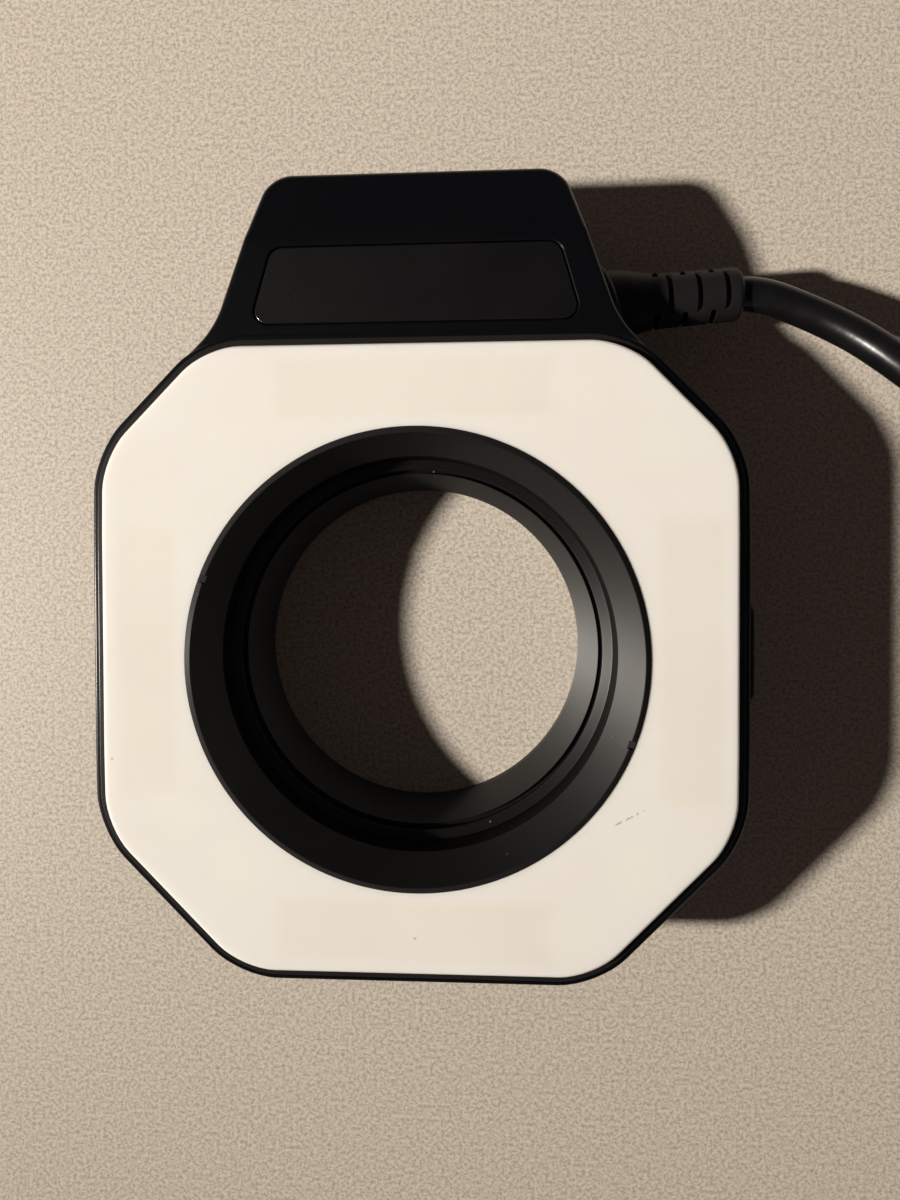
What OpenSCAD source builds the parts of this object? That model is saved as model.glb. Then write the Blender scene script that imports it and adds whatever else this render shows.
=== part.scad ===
// Macro ring flash head with its lens adapter, cable and plug.
// The lens axis is Z. The adapter's thread ends at z = 0 and the diffuser faces +Z.
// +Y points to the head that carries the name plate, +X to the cable's side.

/* [Lens adapter] */
// Diameter of the adapter's thread
thread_d = 58; // [52:0.5:62]
// Length of the adapter's thread
thread_l = 4.2; // [4.1:0.1:4.6]
// Wall between the thread and the clear opening
thread_wall = 1; // [0.9:0.1:2]
// How far the adapter's flange stands out past the thread
flange_w = 4.8; // [4.4:0.1:5.2]
// Depth of the latch groove in the flange
groove_depth = 1.2; // [1:0.1:1.6]
// Width of the adapter's inner cone
adapter_cone_w = 2; // [1.6:0.1:2.4]

/* [Lens bore] */
// Step from the adapter's cone out to the stop ledge
ledge_step = 0.6; // [0.4:0.1:1]
// Step from the stop ledge out to the throat
throat_step = 1.6; // [1.2:0.1:2]
// Width of the bezel's cone
cone_w = 2.7; // [2.2:0.1:3]
// Width of the bezel's rim
rim_w = 1.1; // [0.7:0.1:1.4]
// Wall of the lens tube round the bezel
tube_wall = 1.85; // [1.6:0.05:2.2]
// Depth of the bezel's cone under the diffuser's face
cone_h = 7.5; // [6.5:0.1:8.5]
// Depth of the throat between the cone and the stop ledge
throat_h = 5.6; // [5:0.1:5.8]
// How far the bezel's rim stands above the diffuser
bezel_proud = 0.8; // [0.6:0.1:1.4]
// Width of the bezel's spanner slots
spanner_w = 1.6; // [1:0.1:2]
// Angle of the first spanner slot
spanner_deg = 159; // [0:1:179]

/* [Body] */
// Room for a reflector between the lens tube and the boards' edge
reflector_w = 7.6; // [7:0.1:10]
// How much further out the flanks are than the upper and lower edges
flank_room = 0.65; // [0:0.05:2]
// Length cut off each upper corner
corner_cut_up = 18.2; // [14:0.1:22]
// Length cut off each lower corner
corner_cut_down = 23.2; // [18:0.1:26]
// Radius of the octagon's corners
corner_r = 15; // [8:0.5:20]
// How far the flanks bow out at their middle
side_bow = 0.4; // [0.1:0.1:1]
// Wall of the housing and the rear cover
wall = 1.8; // [1.2:0.1:2]
// Height of the rear cover's back face
back_z = 4; // [3:0.1:4.1]
// Thickness of the rear cover's floor
floor_t = 2; // [1.6:0.1:2.2]
// Height of the rear cover's side
cover_h = 6; // [5.5:0.1:7]

/* [Head] */
// Width of the head at its far edge
head_w = 46.2; // [43:0.1:50]
// Flare of the head's flanks towards the body, in degrees
head_flare = 19.5; // [16:0.5:21]
// How far the head's front face lies below the housing's rim
head_drop = 0.6; // [0.2:0.1:1.2]
// Length of the brow, where the front face slopes back
brow_l = 10.6; // [9:0.1:13]
// Height lost along the brow
brow_drop = 2; // [1.2:0.1:4]
// Radius of the head's outer corners
head_r = 5; // [3:0.5:8]
// Radius of the inside corner between head and body
neck_r = 13; // [6:0.5:15]
// Thickness of the head's shell
head_wall = 2; // [1.8:0.1:2.4]

/* [Name plate] */
// Distance of the plate from the body's upper edge and from the brow
plate_margin = 1.7; // [1.4:0.1:2.4]
// Height of the plate along Y
plate_h = 11.8; // [9:0.1:14]
// Width of the plate's lower edge
plate_w = 51.6; // [44:0.1:53]
// Flare of the plate's sides, in degrees
plate_flare = 16.5; // [12:0.5:19]
// Thickness of the plate
plate_t = 0.8; // [0.5:0.1:1]
// Radius of the plate's corners
plate_r = 1.6; // [0.8:0.1:2.5]
// Gap round the plate in its recess
plate_gap = 0.25; // [0.1:0.05:0.5]

/* [Diffuser] */
// Thickness of the diffuser
diffuser_t = 1.6; // [1.2:0.1:1.8]
// Depth of the diffuser's skirt
skirt_h = 2.6; // [2:0.1:3]
// How far the diffuser stands above the housing's rim
diffuser_proud = 1.4; // [1:0.1:1.6]
// Gap between the diffuser and the housing
diffuser_gap = 0.25; // [0.15:0.05:0.4]

/* [Flash tubes] */
// Diameter of a flash tube
flash_d = 4; // [3:0.1:4.4]
// Length of a flash tube's glass
flash_l = 40; // [34:0.5:42]
// Wall of a flash tube's glass
flash_wall = 0.5; // [0.4:0.05:0.6]
// Height of a flash tube's axis above the frame
flash_rise = 3.7; // [3.4:0.1:4.2]
// Thickness of a reflector's sheet
reflector_t = 0.5; // [0.3:0.05:0.6]
// Height of a reflector
reflector_h = 7.5; // [6.8:0.1:8.5]

/* [Boards] */
// Thickness of the boards
board_t = 1.4; // [1:0.1:1.6]
// Thickness of the frame that carries the reflectors
frame_t = 1.4; // [1:0.1:1.6]
// Width of the terminal board in the head
terminal_w = 42; // [36:0.5:43]
// Length of the transformers on the terminal board
bobbin_l = 13; // [9:0.5:15]

/* [Release buttons] */
// Length of a button along the flank
button_w = 16.4; // [12:0.1:20]
// Height of a button
button_h = 10; // [8:0.1:10.4]
// How far a button stands out of the flank
button_out = 2.9; // [2.5:0.1:4]
// Travel of a button
button_travel = 2; // [1.5:0.1:2]
// Thickness of a latch plate
latch_t = 1.5; // [1.2:0.1:1.5]
// Width of a latch plate's ring
latch_ring_w = 3.9; // [3:0.1:4]
// Width of a latch plate's pawl
pawl_w = 10; // [6:0.5:12]
// Room for a latch spring behind its button
spring_l = 4.25; // [4:0.05:6]
// Wire of a latch spring
spring_wire = 0.5; // [0.4:0.05:0.6]
// Outer diameter of a latch spring
spring_d = 3; // [2.6:0.1:3.2]

/* [Screws] */
// Radius of a screw boss
boss_r = 3; // [2.6:0.1:3.2]
// Radius of a screw's shank
screw_r = 1.2; // [1:0.05:1.3]
// Radius of a screw's head
screw_head_r = 2.2; // [2:0.05:2.3]
// Height of a screw's head
screw_head_h = 1.2; // [1:0.05:1.4]

/* [Cable] */
// Diameter of the cable
cable_d = 5.6; // [5:0.1:6]
// Distance of the cable's exit from the body's upper edge
exit_off = 6.8; // [6:0.1:8.5]
// Height of the cable's exit
exit_z = 12; // [11.5:0.1:12.5]
// Diameter of the boot's flange
boot_flange_d = 14; // [12:0.1:15]
// Thickness of the boot's flange
boot_flange_t = 2.2; // [1.8:0.1:2.6]
// Diameter of the boot
boot_d = 8.8; // [8:0.1:9.4]
// Length of the boot from the flank
boot_l = 23.2; // [20:0.1:26]
// Width of the boot's slots
boot_slot = 1; // [0.6:0.1:1.4]

/* [Plug] */
// Radius of the plug's grip
grip_r = 6.9; // [6.4:0.05:8]
// Length of the plug's grip
grip_l = 14; // [11:0.5:18]
// Length of the plug's boot
plug_boot_l = 10; // [8:0.5:14]
// Radius of the plug's shell under the coupling ring
shell_r = 4.9; // [4.6:0.05:5.2]
// Step from the shell in to the plug's nose
nose_step = 0.4; // [0.3:0.05:0.6]
// Length of the plug's nose
nose_l = 5; // [4:0.5:7]
// Length of the coupling ring
coupling_l = 8.2; // [6:0.1:10]
// Wall of the coupling ring
coupling_wall = 1.64; // [1.4:0.02:1.9]

/* [Hidden] */
$fn = 96;

// Clearances: between loose neighbours, on a running fit, and past a cut's face
gap = 0.3;
running = 0.06;
past = 1;
// Steps on a rounded corner
arc_steps = 6;

// Radii of the adapter, then of the bore from the inside out
clear_d = thread_d - 2 * thread_wall;
flange_r = thread_d / 2 + flange_w;
groove_r = flange_r - groove_depth;
adapter_cone_r = clear_d / 2 + adapter_cone_w;
ledge_r = adapter_cone_r + ledge_step;
throat_r = ledge_r + throat_step;
cone_r = throat_r + cone_w;
bezel_r = cone_r + rim_w;
bezel_wall = 0.1;
bezel_skirt_r = cone_r + bezel_wall;
bezel_thread_gap = 0.15;
spanner_depth = 0.5;
tube_r = bezel_skirt_r + bezel_thread_gap + tube_wall;
tube_flange_w = 3;
tube_flange_r = tube_r + tube_flange_w;

// Latch plates round the adapter
latch_play = 0.5;
latch_inner_r = flange_r + button_travel + latch_play;
latch_ring_r = latch_inner_r + latch_ring_w;
latch_reach = latch_ring_r + button_travel + gap;
pawl_r = groove_r + gap;
rib_t = 1.1;

// Distances inwards from the housing's outer face
diffuser_in = wall + diffuser_gap;
skirt_t = 1.6;
skirt_in = diffuser_in + skirt_t;
seat_lip = 0.5;
seat_in = skirt_in + seat_lip;
diffuser_edge_r = 1.2;
diffuser_edge_steps = 3;
button_flange_t = 1.5;
button_in = wall + gap + button_flange_t;
board_in = button_in + button_travel + gap;

// Reflectors and flash tubes lie between the lens tube and the boards' edge
reflector_r0 = tube_r + gap;
reflector_r1 = reflector_r0 + reflector_w;
flash_r = (reflector_r0 + reflector_r1) / 2;
reflector_over = 2;
reflector_l = flash_l + 2 * reflector_over;
cap_l = 1;
electrode_l = 4;
trigger_in = 1;
holder_l = 3.5;
holder_x = reflector_l / 2 + gap;
lead_pin_l = 0.8;
pin_end_x = holder_x + holder_l + lead_pin_l;
lead_r = 0.4;
trigger_r = 0.25;
side_turns = [["up", 0], ["left", 90], ["down", 180], ["right", 270]];

// The body's edges, from what lies inside them
body_up = reflector_r1 + board_in;
body_down = body_up;
flank_x = max(body_up + flank_room, latch_reach + rib_t + spring_l + button_in);
body_w = 2 * flank_x;

// Heights from the back to the front
floor_z = back_z + floor_t;
parting_z = back_z + cover_h;
low_latch_z = floor_z + gap;
high_latch_z = low_latch_z + latch_t + gap;
tube_z = high_latch_z + latch_t + gap;
tube_flange_t = 1.8;
board_z = tube_z + tube_flange_t;
adapter_gap = 0.4;
adapter_top_z = board_z - adapter_gap;
frame_z = board_z + board_t;
reflector_seat_z = frame_z + frame_t;
flash_z = reflector_seat_z + flash_rise;
seat_z = reflector_seat_z + reflector_h;
seat_t = 1.6;
diffuser_back_z = seat_z + skirt_h;
diffuser_z = diffuser_back_z + diffuser_t;
rim_z = diffuser_z - diffuser_proud;
bezel_z = diffuser_z + bezel_proud;
throat_z = diffuser_z - cone_h;
ledge_z = throat_z - throat_h;
head_z = rim_z - head_drop;

// Posts that carry the lens tube, clear of the latch plates
ear_r = 3;
ear_ring_r = latch_reach + ear_r;
ear_deg = 60;

// Release buttons
button_lift = 1;
button_r = 2;
button_z = floor_z + button_lift;
button_flange_x1 = flank_x - wall - gap;
button_flange_x0 = flank_x - button_in;
button_end_x = flank_x + button_out;
tongue_l = 3.9;
tongue_x = button_flange_x0 - tongue_l;
button_lip = 1.8;
button_lip_z = 0.6;
spring_off = 4;
spring_y = pawl_w / 2 + spring_off;
rib_side = 0.5;
rib_w = spring_d + 2 * rib_side;
spring_end_gap = 0.1;
spring_coils = 4;
spring_sides = 8;

// Head, measured from the body's upper edge, with its boards and wires
plate_y = body_up + plate_margin;
brow_y = plate_y + plate_h + plate_margin;
head_reach = brow_y + brow_l;
brow_angle = atan(brow_drop / brow_l);
big = 4 * head_reach;
plate_sink = 0.1;
recess_d = plate_t + plate_sink;
terminal_off = 3;
terminal_y0 = body_up + terminal_off;
terminal_h = 12;
terminal_lift = 2;
terminal_z = floor_z + terminal_lift;
pad_w = 2;
pad_in = 3;
wire_land = 3.2;
transformer_x = terminal_w / 2 - wire_land - gap - bobbin_l / 2;
bobbin = 9;
winding_r = 3.6;
bobbin_cheek = 1.2;
wire_r = 0.4;
wire_gap = 0.1;
wire_pitch = 1.6;
wire_run = 2;
wire_sides = 8;
board_wire_pitch = 3;
wire_slot_w = 12;
wire_slot_h = 3;

// Screws
boss_inset = 1.8;
boss_top_gap = 1.4;
boss_top_z = seat_z - seat_t - boss_top_gap;
screw_play = 0.05;
cover_hole_r = screw_r + gap;
counterbore_r = screw_head_r + gap;
screw_sink = 0.4;
screw_seat_z = back_z + screw_sink + screw_head_h;
screw_bite = 7;
screw_tip_z = parting_z + screw_bite;
head_screw_side = 8.1;
head_screw_x = head_w / 2 - head_screw_side;
head_screw_in = 6.6;

// Cable boot, seated on the head's right flank
exit_y = body_up + exit_off;
flank_at_exit = [flank_line(0) - tan(head_flare) * exit_y, exit_y];
exit_dir = [cos(head_flare), sin(head_flare)];
boot_seat = 0.1;
boot_neck_step = 0.4;
boot_neck_d = boot_d - 2 * boot_neck_step;
boot_collar_t = 1.5;
boot_collar_w = 1.5;
boot_knuckle_l = 2.5;
boot_knuckle = flank_at_exit + (boot_flange_t + boot_knuckle_l) * exit_dir;
boot_end = [flank_at_exit.x + boot_l, boot_knuckle.y];
boot_slot_pitch = 4.8;
boot_slots = 3;
boot_tip_l = 3;
boot_core_step = 0.2;
boot_core_d = cable_d - 2 * boot_core_step;
boot_blend = 0.8;
boot_blend_d = boot_d + 2 * boot_blend;

// Plug, lying along -Y where the cable ends
cable_r = cable_d / 2;
plug_boot_wall = 0.8;
plug_boot_r0 = cable_r + plug_boot_wall;
plug_boot_r1 = 5.4;
grip_z = plug_boot_l;
grip_chamfer = 1;
shell_z = grip_z + grip_l;
coupling_r = shell_r + running + coupling_wall;
nose_r = shell_r - nose_step;
nose_z = shell_z + coupling_l + 2 * gap;
shell_floor = 3;
shell_wall = 0.9;
insert_l = 7;
pin_circle_r = 2.1;
pin_count = 6;
pin_r = 0.4;
pin_l = 3;
knurls = 20;
knurl_depth = 0.35;

// Coil: its middle counted from the boot's end, its first angle and its outer radius.
// It is wound clockwise, seen from above, in two layers.
coil_centre = [73, -64];
coil_deg = 70;
coil_r = 35;
coil_turns = 2 + coil_deg / 360;
turn_gap = 0.6;
coil_pitch = cable_d + turn_gap;
coil_lift = 1;
coil_z = cable_r + coil_lift;
layer_gap = 0.5;
coil_layer = cable_d + layer_gap;
coil_steps = 24;
climb_turns = 0.5;
tie_deg = -90;
tie_w = 9;
tie_t = 0.8;
tie_gap = 0.6;
tie_under = 0.15;
tie_r = 2;

// Cable route from the boot's end: X, Y and the height, as a share of the exit's own
lead_route = [[0, 0, 1], [1.5, 0, 1], [3.5, -0.3, 1], [5.8, -0.95, 1.005], [8.3, -2, 1.022],
    [11, -3.35, 1.065], [13.8, -4.95, 1.13], [16.4, -6.7, 1.223], [19, -8.8, 1.348], [22.2, -11.9, 1.522],
    [26, -15.5, 1.674], [30.5, -18.9, 1.761], [36, -21.8, 1.728], [42, -23.6, 1.543], [48, -24.2, 1.239],
    [54, -23.9, 0.87], [59.5, -23.5, 0.5], [64.3, -23.9, 0.239], [69, -25.25, 0.13]];
lead_points = [for (p = lead_route) [p.x, p.y, cable_r + p.z * (exit_z - cable_r)]];
// Cable from the coil's end to the plug: Y, and the share of the drop to the plug's height
tail_route = [[0, 0], [-4, 0], [-8, 0.24], [-11, 0.52], [-14, 0.76], [-18, 1], [-22, 1]];
plug_lift = 0.1;
tail_drop = coil_z + coil_layer - max(grip_r, coupling_r) - plug_lift;

// Rounded outlines: a corner's arc, and a whole outline of them
function unit(v) = v / norm(v);
function corner_arc(a, b, c, r) =
    let (u = unit(a - b), v = unit(c - b), half = acos(u * v) / 2)
    let (centre = b + unit(u + v) * r / sin(half), start = b + u * r / tan(half) - centre)
    let (first = atan2(start.y, start.x), turn = (180 - 2 * half) * sign(cross(b - a, c - b)))
    [for (i = [0:arc_steps]) let (at = first + turn * i / arc_steps) centre + r * [cos(at), sin(at)]];
function rounded(points, radii) =
    let (n = len(points))
    [for (i = [0:n - 1])
        each corner_arc(points[(i + n - 1) % n], points[i], points[(i + 1) % n], radii[i])];
function back(list) = [for (i = [len(list) - 1:-1:0]) list[i]];
function both_sides(points) = concat(points, [for (p = back(points)) [-p.x, p.y]]);
function rectangle(w, h) = [[-w, -h] / 2, [w, -h] / 2, [w, h] / 2, [-w, h] / 2];
function round_rectangle(w, h, r) = rounded(rectangle(w, h), [r, r, r, r]);

// Right half of the octagon, grown by t, from the lower edge up
function body_half(t) =
    let (w = body_w / 2 + t, up = body_up + t, down = body_down + t, grow = t * (2 - sqrt(2)))
    let (cut_up = corner_cut_up + grow, cut_down = corner_cut_down + grow)
    [[w - cut_down, -down], [w - side_bow, cut_down - down], [w, (up - cut_up + cut_down - down) / 2],
        [w - side_bow, up - cut_up], [w - cut_up, up]];
// Radius that spreads the flank's bow over most of its length
function bow_r(half) = let (l = (half[3].y - half[1].y) / 2) 0.6 * l / tan(atan(side_bow / l));
function body_points(t) =
    let (half = body_half(t), r = corner_r + t, radii = [r, r, bow_r(half), r, r])
    rounded(both_sides(half), concat(radii, back(radii)));

// Where the head's right flank would cross y = 0, grown by t
function flank_line(t) = head_w / 2 + tan(head_flare) * head_reach + t / cos(head_flare);
// Outline of body and head together, grown by t
function silhouette_points(t) =
    let (half = body_half(t), a = half[3], b = half[4], x0 = flank_line(t), m = tan(head_flare))
    let (s = (x0 - m * a.y - a.x) / (b.x - a.x + m * (b.y - a.y)), top = head_reach + t)
    let (side = [half[0], half[1], half[2], a, a + s * (b - a), [x0 - m * top, top]], r = corner_r + t)
    let (radii = [r, r, bow_r(half), r, neck_r - t, head_r + t])
    rounded(both_sides(side), concat(radii, back(radii)));

// Name plate's outline, grown by g
function plate_points(g) =
    let (m = tan(plate_flare), low = plate_y - g, high = plate_y + plate_h + g, side = g / cos(plate_flare))
    let (w0 = plate_w / 2 + side + m * g, w1 = plate_w / 2 + side - m * (high - plate_y))
    rounded([[w0, low], [w1, high], [-w1, high], [-w0, low]], [for (i = [0:3]) plate_r + g]);

// Screws in the middle of the four cut corners and in the head
function cut_middle(i, inwards) =
    let (half = body_half(-wall)) (half[i] + half[i + 1]) / 2 + boss_inset * unit(inwards);
corner_screws = [for (s = [-1, 1], p = [cut_middle(3, [-1, -1]), cut_middle(0, [-1, 1])]) [s * p.x, p.y]];
head_screws = [for (s = [-1, 1]) [s * head_screw_x, head_reach - head_screw_in]];
ears = [for (s = [-1, 1], t = [-1, 1]) ear_ring_r * [s * cos(ear_deg), t * sin(ear_deg)]];

// Coil: the turns spiral in, climb a layer in the half turn where they reverse, and spiral out
function ease(x) = let (c = min(1, max(0, x))) c * c * (3 - 2 * c);
function coil_angle(t) = coil_deg - 360 * t;
function coil_radius(t) = coil_r - coil_pitch * min(t, coil_turns - t);
function coil_height(t) = coil_z + coil_layer * ease((t - coil_turns / 2) / climb_turns + 0.5);
function coil_point(t) =
    [coil_radius(t) * cos(coil_angle(t)), coil_radius(t) * sin(coil_angle(t)), coil_height(t)];
function coil_dir(t) = [sin(coil_angle(t)), -cos(coil_angle(t)), 0];
coil_ts = concat([for (i = [0:floor(coil_turns * coil_steps)]) i / coil_steps], [coil_turns]);
coil_line = [for (t = coil_ts) coil_point(t)];
coil_start = coil_point(0) - cable_d * coil_dir(0);
coil_end = coil_point(coil_turns) + cable_d * coil_dir(coil_turns);
coil_path = concat([coil_start], coil_line, [coil_end]);
coil_gap = min([for (i = [0:len(coil_line) - 1], j = [i + coil_steps / 2:1:len(coil_line) - 1])
    norm(coil_line[i] - coil_line[j])]) - cable_d;
echo(str("least gap between the cable's turns: ", coil_gap, " mm"));
coil_place = [coil_centre.x, coil_centre.y, 0];
lead_end = [for (back_by = [cable_d, 0]) coil_start + coil_place - back_by * coil_dir(0)];
lead_path = concat(lead_points, lead_end);
tail_path = [for (p = tail_route) coil_end + coil_place + [0, p[0], -tail_drop * p[1]]];
plug_start = tail_path[len(tail_path) - 1];
route_length = path_length(lead_path) + path_length(coil_path) + path_length(tail_path);
echo(str("length of the cable: ", route_length, " mm"));

function path_length(p) = len(p) < 2 ? 0 : sum([for (i = [1:len(p) - 1]) norm(p[i] - p[i - 1])]);
function sum(v) = v * [for (x = v) 1];

// A tube of flat sides swept along a path
function heading(p, i) = unit(p[min(i + 1, len(p) - 1)] - p[max(i - 1, 0)]);
function ring(p, i, r, sides) =
    let (along = heading(p, i), side = unit(cross(along, [0, 0, 1])), up = cross(side, along))
    [for (k = [0:sides - 1]) p[i] + r * (cos(360 * k / sides) * side + sin(360 * k / sides) * up)];
module swept(path, r, sides) {
    last = (len(path) - 1) * sides;
    walls = [for (i = [0:len(path) - 2], k = [0:sides - 1])
        let (a = i * sides + k, b = i * sides + (k + 1) % sides)
        each [[a, b, a + sides], [b, b + sides, a + sides]]];
    ends = [for (k = [1:sides - 2]) each [[0, k + 1, k], [last, last + k, last + k + 1]]];
    rings = [for (i = [0:len(path) - 1]) each ring(path, i, r, sides)];
    polyhedron(rings, concat(walls, ends), convexity = 8);
}

// Building blocks
module between(z0, z1) {
    translate([0, 0, z0]) linear_extrude(z1 - z0) children();
}
module body_outline(t) {
    polygon(body_points(t));
}
module silhouette(t) {
    polygon(silhouette_points(t));
}
module body_ring(t_out, t_in) {
    difference() {
        body_outline(t_out);
        body_outline(t_in);
    }
}
module at_each(points) {
    for (p = points) translate([p.x, p.y, 0]) children();
}
// Space above the head's sloping brow, lowered by t
module above_brow(t) {
    translate([0, brow_y, head_z]) rotate([-brow_angle, 0, 0])
        translate([-big / 2, -big / 2, -t]) cube(big);
}
// Places what is drawn along +Z at the cable's exit, along the flank's outward normal
module at_exit() {
    translate([flank_at_exit.x, flank_at_exit.y, exit_z]) rotate([0, 90, head_flare]) children();
}
// The boot's hole, with a flat seat for its flange where the neck curves out
module exit_hole() {
    at_exit() {
        translate([0, 0, -head_wall - past]) cylinder(h = head_wall + 2 * past, d = boot_neck_d + 2 * gap);
        translate([0, 0, -boot_seat]) cylinder(h = boot_seat + boot_flange_t, d = boot_flange_d + 2 * gap);
    }
}
// Draws children for the right button, or mirrored for the left
module on_side(side) {
    mirror([side < 0 ? 1 : 0, 0, 0]) children();
}
// A bar along X whose section is a rounded rectangle across Y and Z
module flank_bar(x0, x1, w, z0, z1, r) {
    translate([x0, 0, (z0 + z1) / 2]) rotate([90, 0, 90])
        linear_extrude(x1 - x0) polygon(round_rectangle(w, z1 - z0, r));
}
module button_windows() {
    for (side = [-1, 1]) on_side(side)
        flank_bar(flank_x - wall - past, flank_x + past, button_w + 2 * gap, button_z - gap,
            button_z + button_h + gap, button_r + gap);
}

// Housing and rear cover
module front_housing() {
    color("#1b1b1d") difference() {
        union() {
            between(parting_z, rim_z) body_ring(0, -wall);
            between(seat_z - seat_t, seat_z) body_ring(-wall / 2, -seat_in);
            at_each(corner_screws) between(parting_z, boss_top_z) circle(boss_r);
            head_shell();
        }
        button_windows();
        exit_hole();
        at_each(corner_screws) between(parting_z - past, screw_tip_z + gap) circle(screw_r + screw_play);
        at_each(head_screws) between(parting_z - past, screw_tip_z + gap) circle(screw_r + screw_play);
        between(head_z - recess_d, head_z + past) polygon(plate_points(plate_gap));
        translate([-wire_slot_w / 2, body_up - 2 * wall, parting_z - past])
            cube([wire_slot_w, 3 * wall, wire_slot_h + past]);
    }
}
module head_shell() {
    difference() {
        union() {
            difference() {
                between(parting_z, head_z) head_area(0, -wall / 2);
                difference() {
                    between(parting_z - past, head_z - head_wall) head_area(-head_wall, 0);
                    above_brow(head_wall);
                }
            }
            at_each(head_screws) between(parting_z, head_z - head_wall / 2) circle(boss_r);
        }
        above_brow(0);
    }
}
// The head's area outside the octagon
module head_area(t, t_body) {
    difference() {
        silhouette(t);
        body_outline(t_body);
    }
}
module rear_cover() {
    color("#202022") difference() {
        union() {
            between(back_z, floor_z) silhouette(0);
            between(back_z, parting_z) difference() {
                silhouette(0);
                silhouette(-wall);
            }
            at_each(concat(corner_screws, head_screws)) between(back_z, parting_z) circle(boss_r);
            at_each(ears) between(back_z, tube_z) circle(ear_r);
            for (side = [-1, 1]) on_side(side) spring_ribs();
            terminal_pads();
        }
        between(back_z - past, floor_z + past) circle(flange_r + adapter_gap);
        button_windows();
        exit_hole();
        at_each(concat(corner_screws, head_screws)) {
            between(back_z - past, parting_z + past) circle(cover_hole_r);
            between(back_z - past, screw_seat_z) circle(counterbore_r);
        }
        at_each(ears) between(floor_z, tube_z + past) circle(screw_r + screw_play);
    }
}
module spring_ribs() {
    for (s = [-1, 1])
        translate([latch_reach, s * spring_y - rib_w / 2, back_z]) cube([rib_t, rib_w, tube_z - back_z]);
}
module terminal_pads() {
    for (s = [-1, 1])
        translate([s * (terminal_w / 2 - pad_in) - pad_w / 2, terminal_y0, back_z])
            cube([pad_w, terminal_h, terminal_z - back_z]);
}
module screw(seat_z, tip_z) {
    translate([0, 0, seat_z - screw_head_h]) cylinder(h = screw_head_h, r = screw_head_r);
    translate([0, 0, seat_z]) cylinder(h = tip_z - seat_z, r = screw_r);
}
module rear_screws() {
    color("#8a8c90") at_each(concat(corner_screws, head_screws)) screw(screw_seat_z, screw_tip_z);
}

// Lens tube, bezel, diffuser, plate and adapter
module lens_tube() {
    mouth_r = flange_r + adapter_gap;
    seat_r = bezel_skirt_r + bezel_thread_gap;
    color("#161618") difference() {
        union() {
            rotate_extrude() polygon([[mouth_r, tube_z], [tube_flange_r, tube_z], [tube_flange_r, board_z],
                [tube_r, board_z], [tube_r, diffuser_back_z], [seat_r, diffuser_back_z], [seat_r, throat_z],
                [throat_r, throat_z], [throat_r, ledge_z], [ledge_r, ledge_z], [ledge_r, board_z],
                [mouth_r, board_z]]);
            between(tube_z, board_z) difference() {
                for (p = ears) {
                    translate(p) circle(ear_r);
                    rotate(atan2(p.y, p.x)) translate([0, -ear_r]) square([ear_ring_r, 2 * ear_r]);
                }
                circle(tube_r);
            }
        }
        at_each(ears) between(tube_z - past, board_z + past) circle(cover_hole_r);
    }
}
module tube_screws() {
    color("#8a8c90") at_each(ears) translate([0, 0, board_z]) rotate([180, 0, 0])
        screw(0, board_z - floor_z - 2 * gap);
}
module bezel_ring() {
    color("#2a2a2c") difference() {
        rotate_extrude() polygon([[throat_r, throat_z], [bezel_skirt_r, throat_z],
            [bezel_skirt_r, diffuser_z], [bezel_r, diffuser_z], [bezel_r, bezel_z - gap],
            [bezel_r - gap, bezel_z], [cone_r, bezel_z]]);
        for (turn = [0, 180]) rotate(spanner_deg + turn)
            translate([cone_r - past, -spanner_w / 2, bezel_z - spanner_depth])
                cube([bezel_r - cone_r + 2 * past, spanner_w, past]);
    }
}
module diffuser() {
    edge_z = diffuser_z - diffuser_edge_r;
    color("#f1efe8") difference() {
        union() {
            between(seat_z, diffuser_back_z) body_ring(-diffuser_in, -skirt_in);
            between(diffuser_back_z, edge_z) body_outline(-diffuser_in);
            for (i = [0:diffuser_edge_steps - 1]) {
                low = 90 * i / diffuser_edge_steps;
                high = 90 * (i + 1) / diffuser_edge_steps;
                between(edge_z + diffuser_edge_r * sin(low), edge_z + diffuser_edge_r * sin(high))
                    body_outline(-diffuser_in - diffuser_edge_r * (1 - cos(high)));
            }
        }
        between(diffuser_back_z - past, diffuser_z + past) circle(bezel_skirt_r + gap);
    }
}
module name_plate() {
    color("#242426") between(head_z - recess_d, head_z - recess_d + plate_t) polygon(plate_points(0));
}
module adapter_ring() {
    color("#303032") rotate_extrude() polygon([[clear_d / 2, 0], [thread_d / 2, 0],
        [thread_d / 2, thread_l], [flange_r, thread_l], [flange_r, floor_z], [groove_r, floor_z],
        [groove_r, tube_z], [flange_r, tube_z], [flange_r, adapter_top_z],
        [adapter_cone_r, adapter_top_z], [clear_d / 2, thread_l / 2]]);
}

// Boards, reflectors and flash tubes
module ring_plate(z0, z1) {
    between(z0, z1) difference() {
        body_outline(-board_in);
        circle(tube_r + gap);
        for (p = corner_screws) translate(p) circle(boss_r + gap);
        for (p = ears) translate(p) circle(screw_head_r + gap);
    }
}
module circuit_board() {
    color("#1f4d34") ring_plate(board_z, frame_z);
}
module reflector_frame() {
    color("#d8d8d4") ring_plate(frame_z, reflector_seat_z);
}
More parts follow.
